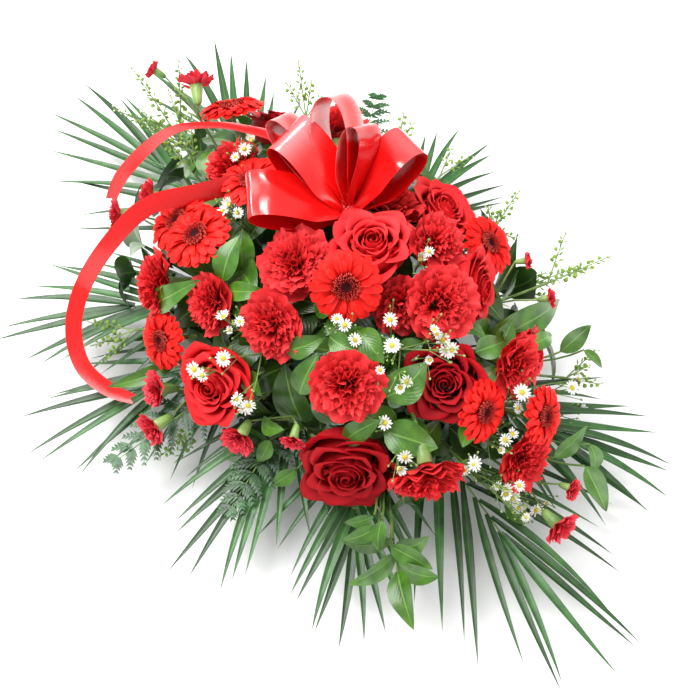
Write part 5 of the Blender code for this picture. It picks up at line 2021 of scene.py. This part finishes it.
class SPRAY_OT_seed_sprigs(bpy.types.Operator):
    """Make the airy sprigs of green seed pods"""

    bl_idname = "flower_spray.seed_sprigs"
    bl_label = "Seed sprigs"

    def execute(self, context):
        settings = context.scene.spray_foliage
        green = settings.pod_green
        pod_skin = petal_finish("Seed pod", scaled(green, 0.6), green, scaled(green, 1.4), 0.5, 0.05, 3.0)
        tip_skin = petal_finish(
            "Seed sprig tip", green, (0.60, 0.70, 0.36), (0.85, 0.86, 0.70), 0.5, 0.05, 3.0
        )
        finishes = [pod_skin, shared_finish(context, "Stem"), tip_skin]
        pod = template_of(pod_head(), "pod_head")
        tip = template_of(tip_head(), "tip_head")
        for name, (fork, ends) in POD_SPRIGS.items():
            seed_piece(name, fork, ends, pod, tip, finishes, name)
        for number, (fork, ends, forward) in enumerate(OUTER_SEED_SPRIGS):
            start, *points = [beside_dome(pixel, forward) for pixel in (fork, *ends)]
            seed_piece(f"outer_seed_sprig_{number + 1}", start, points, pod, tip, finishes)
        return {"FINISHED"}


class SPRAY_OT_bow(bpy.types.Operator):
    """Tie the ribbon bow with its loops and forked ends"""

    bl_idname = "flower_spray.bow"
    bl_label = "Ribbon bow"

    def execute(self, context):
        settings = context.scene.spray_ribbon
        finish = ribbon_finish("Ribbon", settings.ribbon_deep, settings.ribbon_red, settings.ribbon_painted_highlight)
        finishes = [finish, shared_finish(context, "Stem")]
        knot_piece(finishes)
        for number, (loop, shades) in enumerate(zip(LOOPS, LOOP_SHADES)):
            loop_piece(number + 1, *loop, shades, settings, finishes)
        for number, tail in enumerate(zip(TAIL_PATHS, TAIL_WIDTHS, TAIL_TURNS, TAIL_SHADES)):
            tail_piece(number + 1, *tail, settings, finishes)
        return {"FINISHED"}


class SPRAY_OT_holder(bpy.types.Operator):
    """Finish the foam block and its moulded tray"""

    bl_idname = "flower_spray.holder"
    bl_label = "Foam and tray"

    def execute(self, context):
        settings = context.scene.spray_holder
        foam = plain_finish(
            "Wet foam", settings.foam_dark, settings.foam_green, 0.90, 400.0, 1800.0, 0.0008
        )
        green = settings.tray_green
        tray = plain_finish(
            "Tray plastic", green, scaled(green, 1.35), 0.38, 30.0, 1200.0, 0.0001, Specular_IOR_Level=0.5
        )
        for node, finish, slot in (("foam_block", foam, "foam"), ("spray_tray", tray, "tray")):
            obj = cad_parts[node]
            if not obj.material_slots:
                obj.data.materials.append(finish)
            for holder in obj.material_slots:
                holder.material = finish
        return {"FINISHED"}


def stage_floor(size, colour):
    """The pale floor, square and level."""
    bm = bmesh.new()
    bmesh.ops.create_grid(bm, x_segments=1, y_segments=1, size=size / 2)
    floor = linked("floor", template_of(bm, "floor"))
    floor.data.materials.append(
        plain_finish("Floor", colour, scaled(colour, 1.01), 0.85, 3.0, 60.0, 0.0002)
    )


def stage_light(name, way, size, power):
    """A softbox that hangs this far from the dome's middle and faces it."""
    lamp = bpy.data.lights.new(name, "AREA")
    lamp.shape = "RECTANGLE"
    lamp.size, lamp.size_y = size
    lamp.energy = power
    away = sum((axis * reach for axis, reach in zip(view_axes(), way)), Vector())
    obj = linked(name, lamp)
    obj.location = LIGHTS_AIM + away
    obj.rotation_euler = away.to_track_quat("Z", "Y").to_euler()


def stage_room(strength):
    """The even white light of the room."""
    world = bpy.data.worlds.new("Room")
    world.use_nodes = True
    sky = world.node_tree.nodes["Background"]
    sky.inputs["Color"].default_value = (1.0, 1.0, 1.0, 1.0)
    sky.inputs["Strength"].default_value = strength
    bpy.context.scene.world = world
    bpy.context.scene.view_settings.view_transform = "Standard"


def stage_camera():
    """The camera that sees the spray as the picture does."""
    back = view_axes()[2]
    lens = bpy.data.cameras.new("camera")
    lens.sensor_width = SENSOR
    lens.lens = FOCAL_PIXELS / PICTURE * SENSOR
    camera = linked("camera", lens)
    camera.location = VIEW_TARGET + back * VIEW_DISTANCE
    camera.rotation_euler = back.to_track_quat("Z", "Y").to_euler()
    bpy.context.scene.camera = camera


class SPRAY_OT_stage(bpy.types.Operator):
    """Set the pale floor, the soft light and the camera"""

    bl_idname = "flower_spray.stage"
    bl_label = "Stage"

    def execute(self, context):
        settings = context.scene.spray_stage
        stage_floor(settings.floor_size, settings.floor_colour)
        for name, (way, size) in LIGHTS.items():
            stage_light(name, way, size, getattr(settings, f"{name}_power"))
        stage_room(settings.sky_strength)
        stage_camera()
        return {"FINISHED"}


class SPRAY_PT_panel(bpy.types.Panel):
    """Lists the pieces of the spray"""

    bl_idname = "SPRAY_PT_panel"
    bl_label = "Flower Spray"
    bl_space_type = "VIEW_3D"
    bl_region_type = "UI"
    bl_category = "Flower Spray"

    def draw(self, context):
        for operator in OPERATORS:
            self.layout.operator(operator.bl_idname)


SETTINGS = {
    "spray_blooms": SPRAY_PG_blooms,
    "spray_foliage": SPRAY_PG_foliage,
    "spray_ribbon": SPRAY_PG_ribbon,
    "spray_holder": SPRAY_PG_holder,
    "spray_stage": SPRAY_PG_stage,
}
OPERATORS = (
    SPRAY_OT_roses,
    SPRAY_OT_carnations,
    SPRAY_OT_gerberas,
    SPRAY_OT_spray_carnations,
    SPRAY_OT_palms,
    SPRAY_OT_ferns,
    SPRAY_OT_broad_leaves,
    SPRAY_OT_daisies,
    SPRAY_OT_seed_sprigs,
    SPRAY_OT_bow,
    SPRAY_OT_holder,
    SPRAY_OT_stage,
)
CLASSES = (*SETTINGS.values(), *OPERATORS, SPRAY_PT_panel)


def register():
    """Registers the settings, the operators and the panel."""
    for made in CLASSES:
        bpy.utils.register_class(made)
    for key, group in SETTINGS.items():
        setattr(bpy.types.Scene, key, PointerProperty(type=group))


def unregister():
    """Takes the settings, the operators and the panel out again."""
    for key in SETTINGS:
        delattr(bpy.types.Scene, key)
    for made in reversed(CLASSES):
        bpy.utils.unregister_class(made)


def main():
    """Dresses the spray piece by piece."""
    register()
    bpy.ops.flower_spray.stage()
    bpy.ops.flower_spray.roses()
    bpy.ops.flower_spray.carnations()
    bpy.ops.flower_spray.gerberas()
    bpy.ops.flower_spray.spray_carnations()
    bpy.ops.flower_spray.palms()
    bpy.ops.flower_spray.ferns()
    bpy.ops.flower_spray.broad_leaves()
    bpy.ops.flower_spray.daisies()
    bpy.ops.flower_spray.seed_sprigs()
    bpy.ops.flower_spray.bow()
    bpy.ops.flower_spray.holder()


if __name__ == "__main__":
    main()
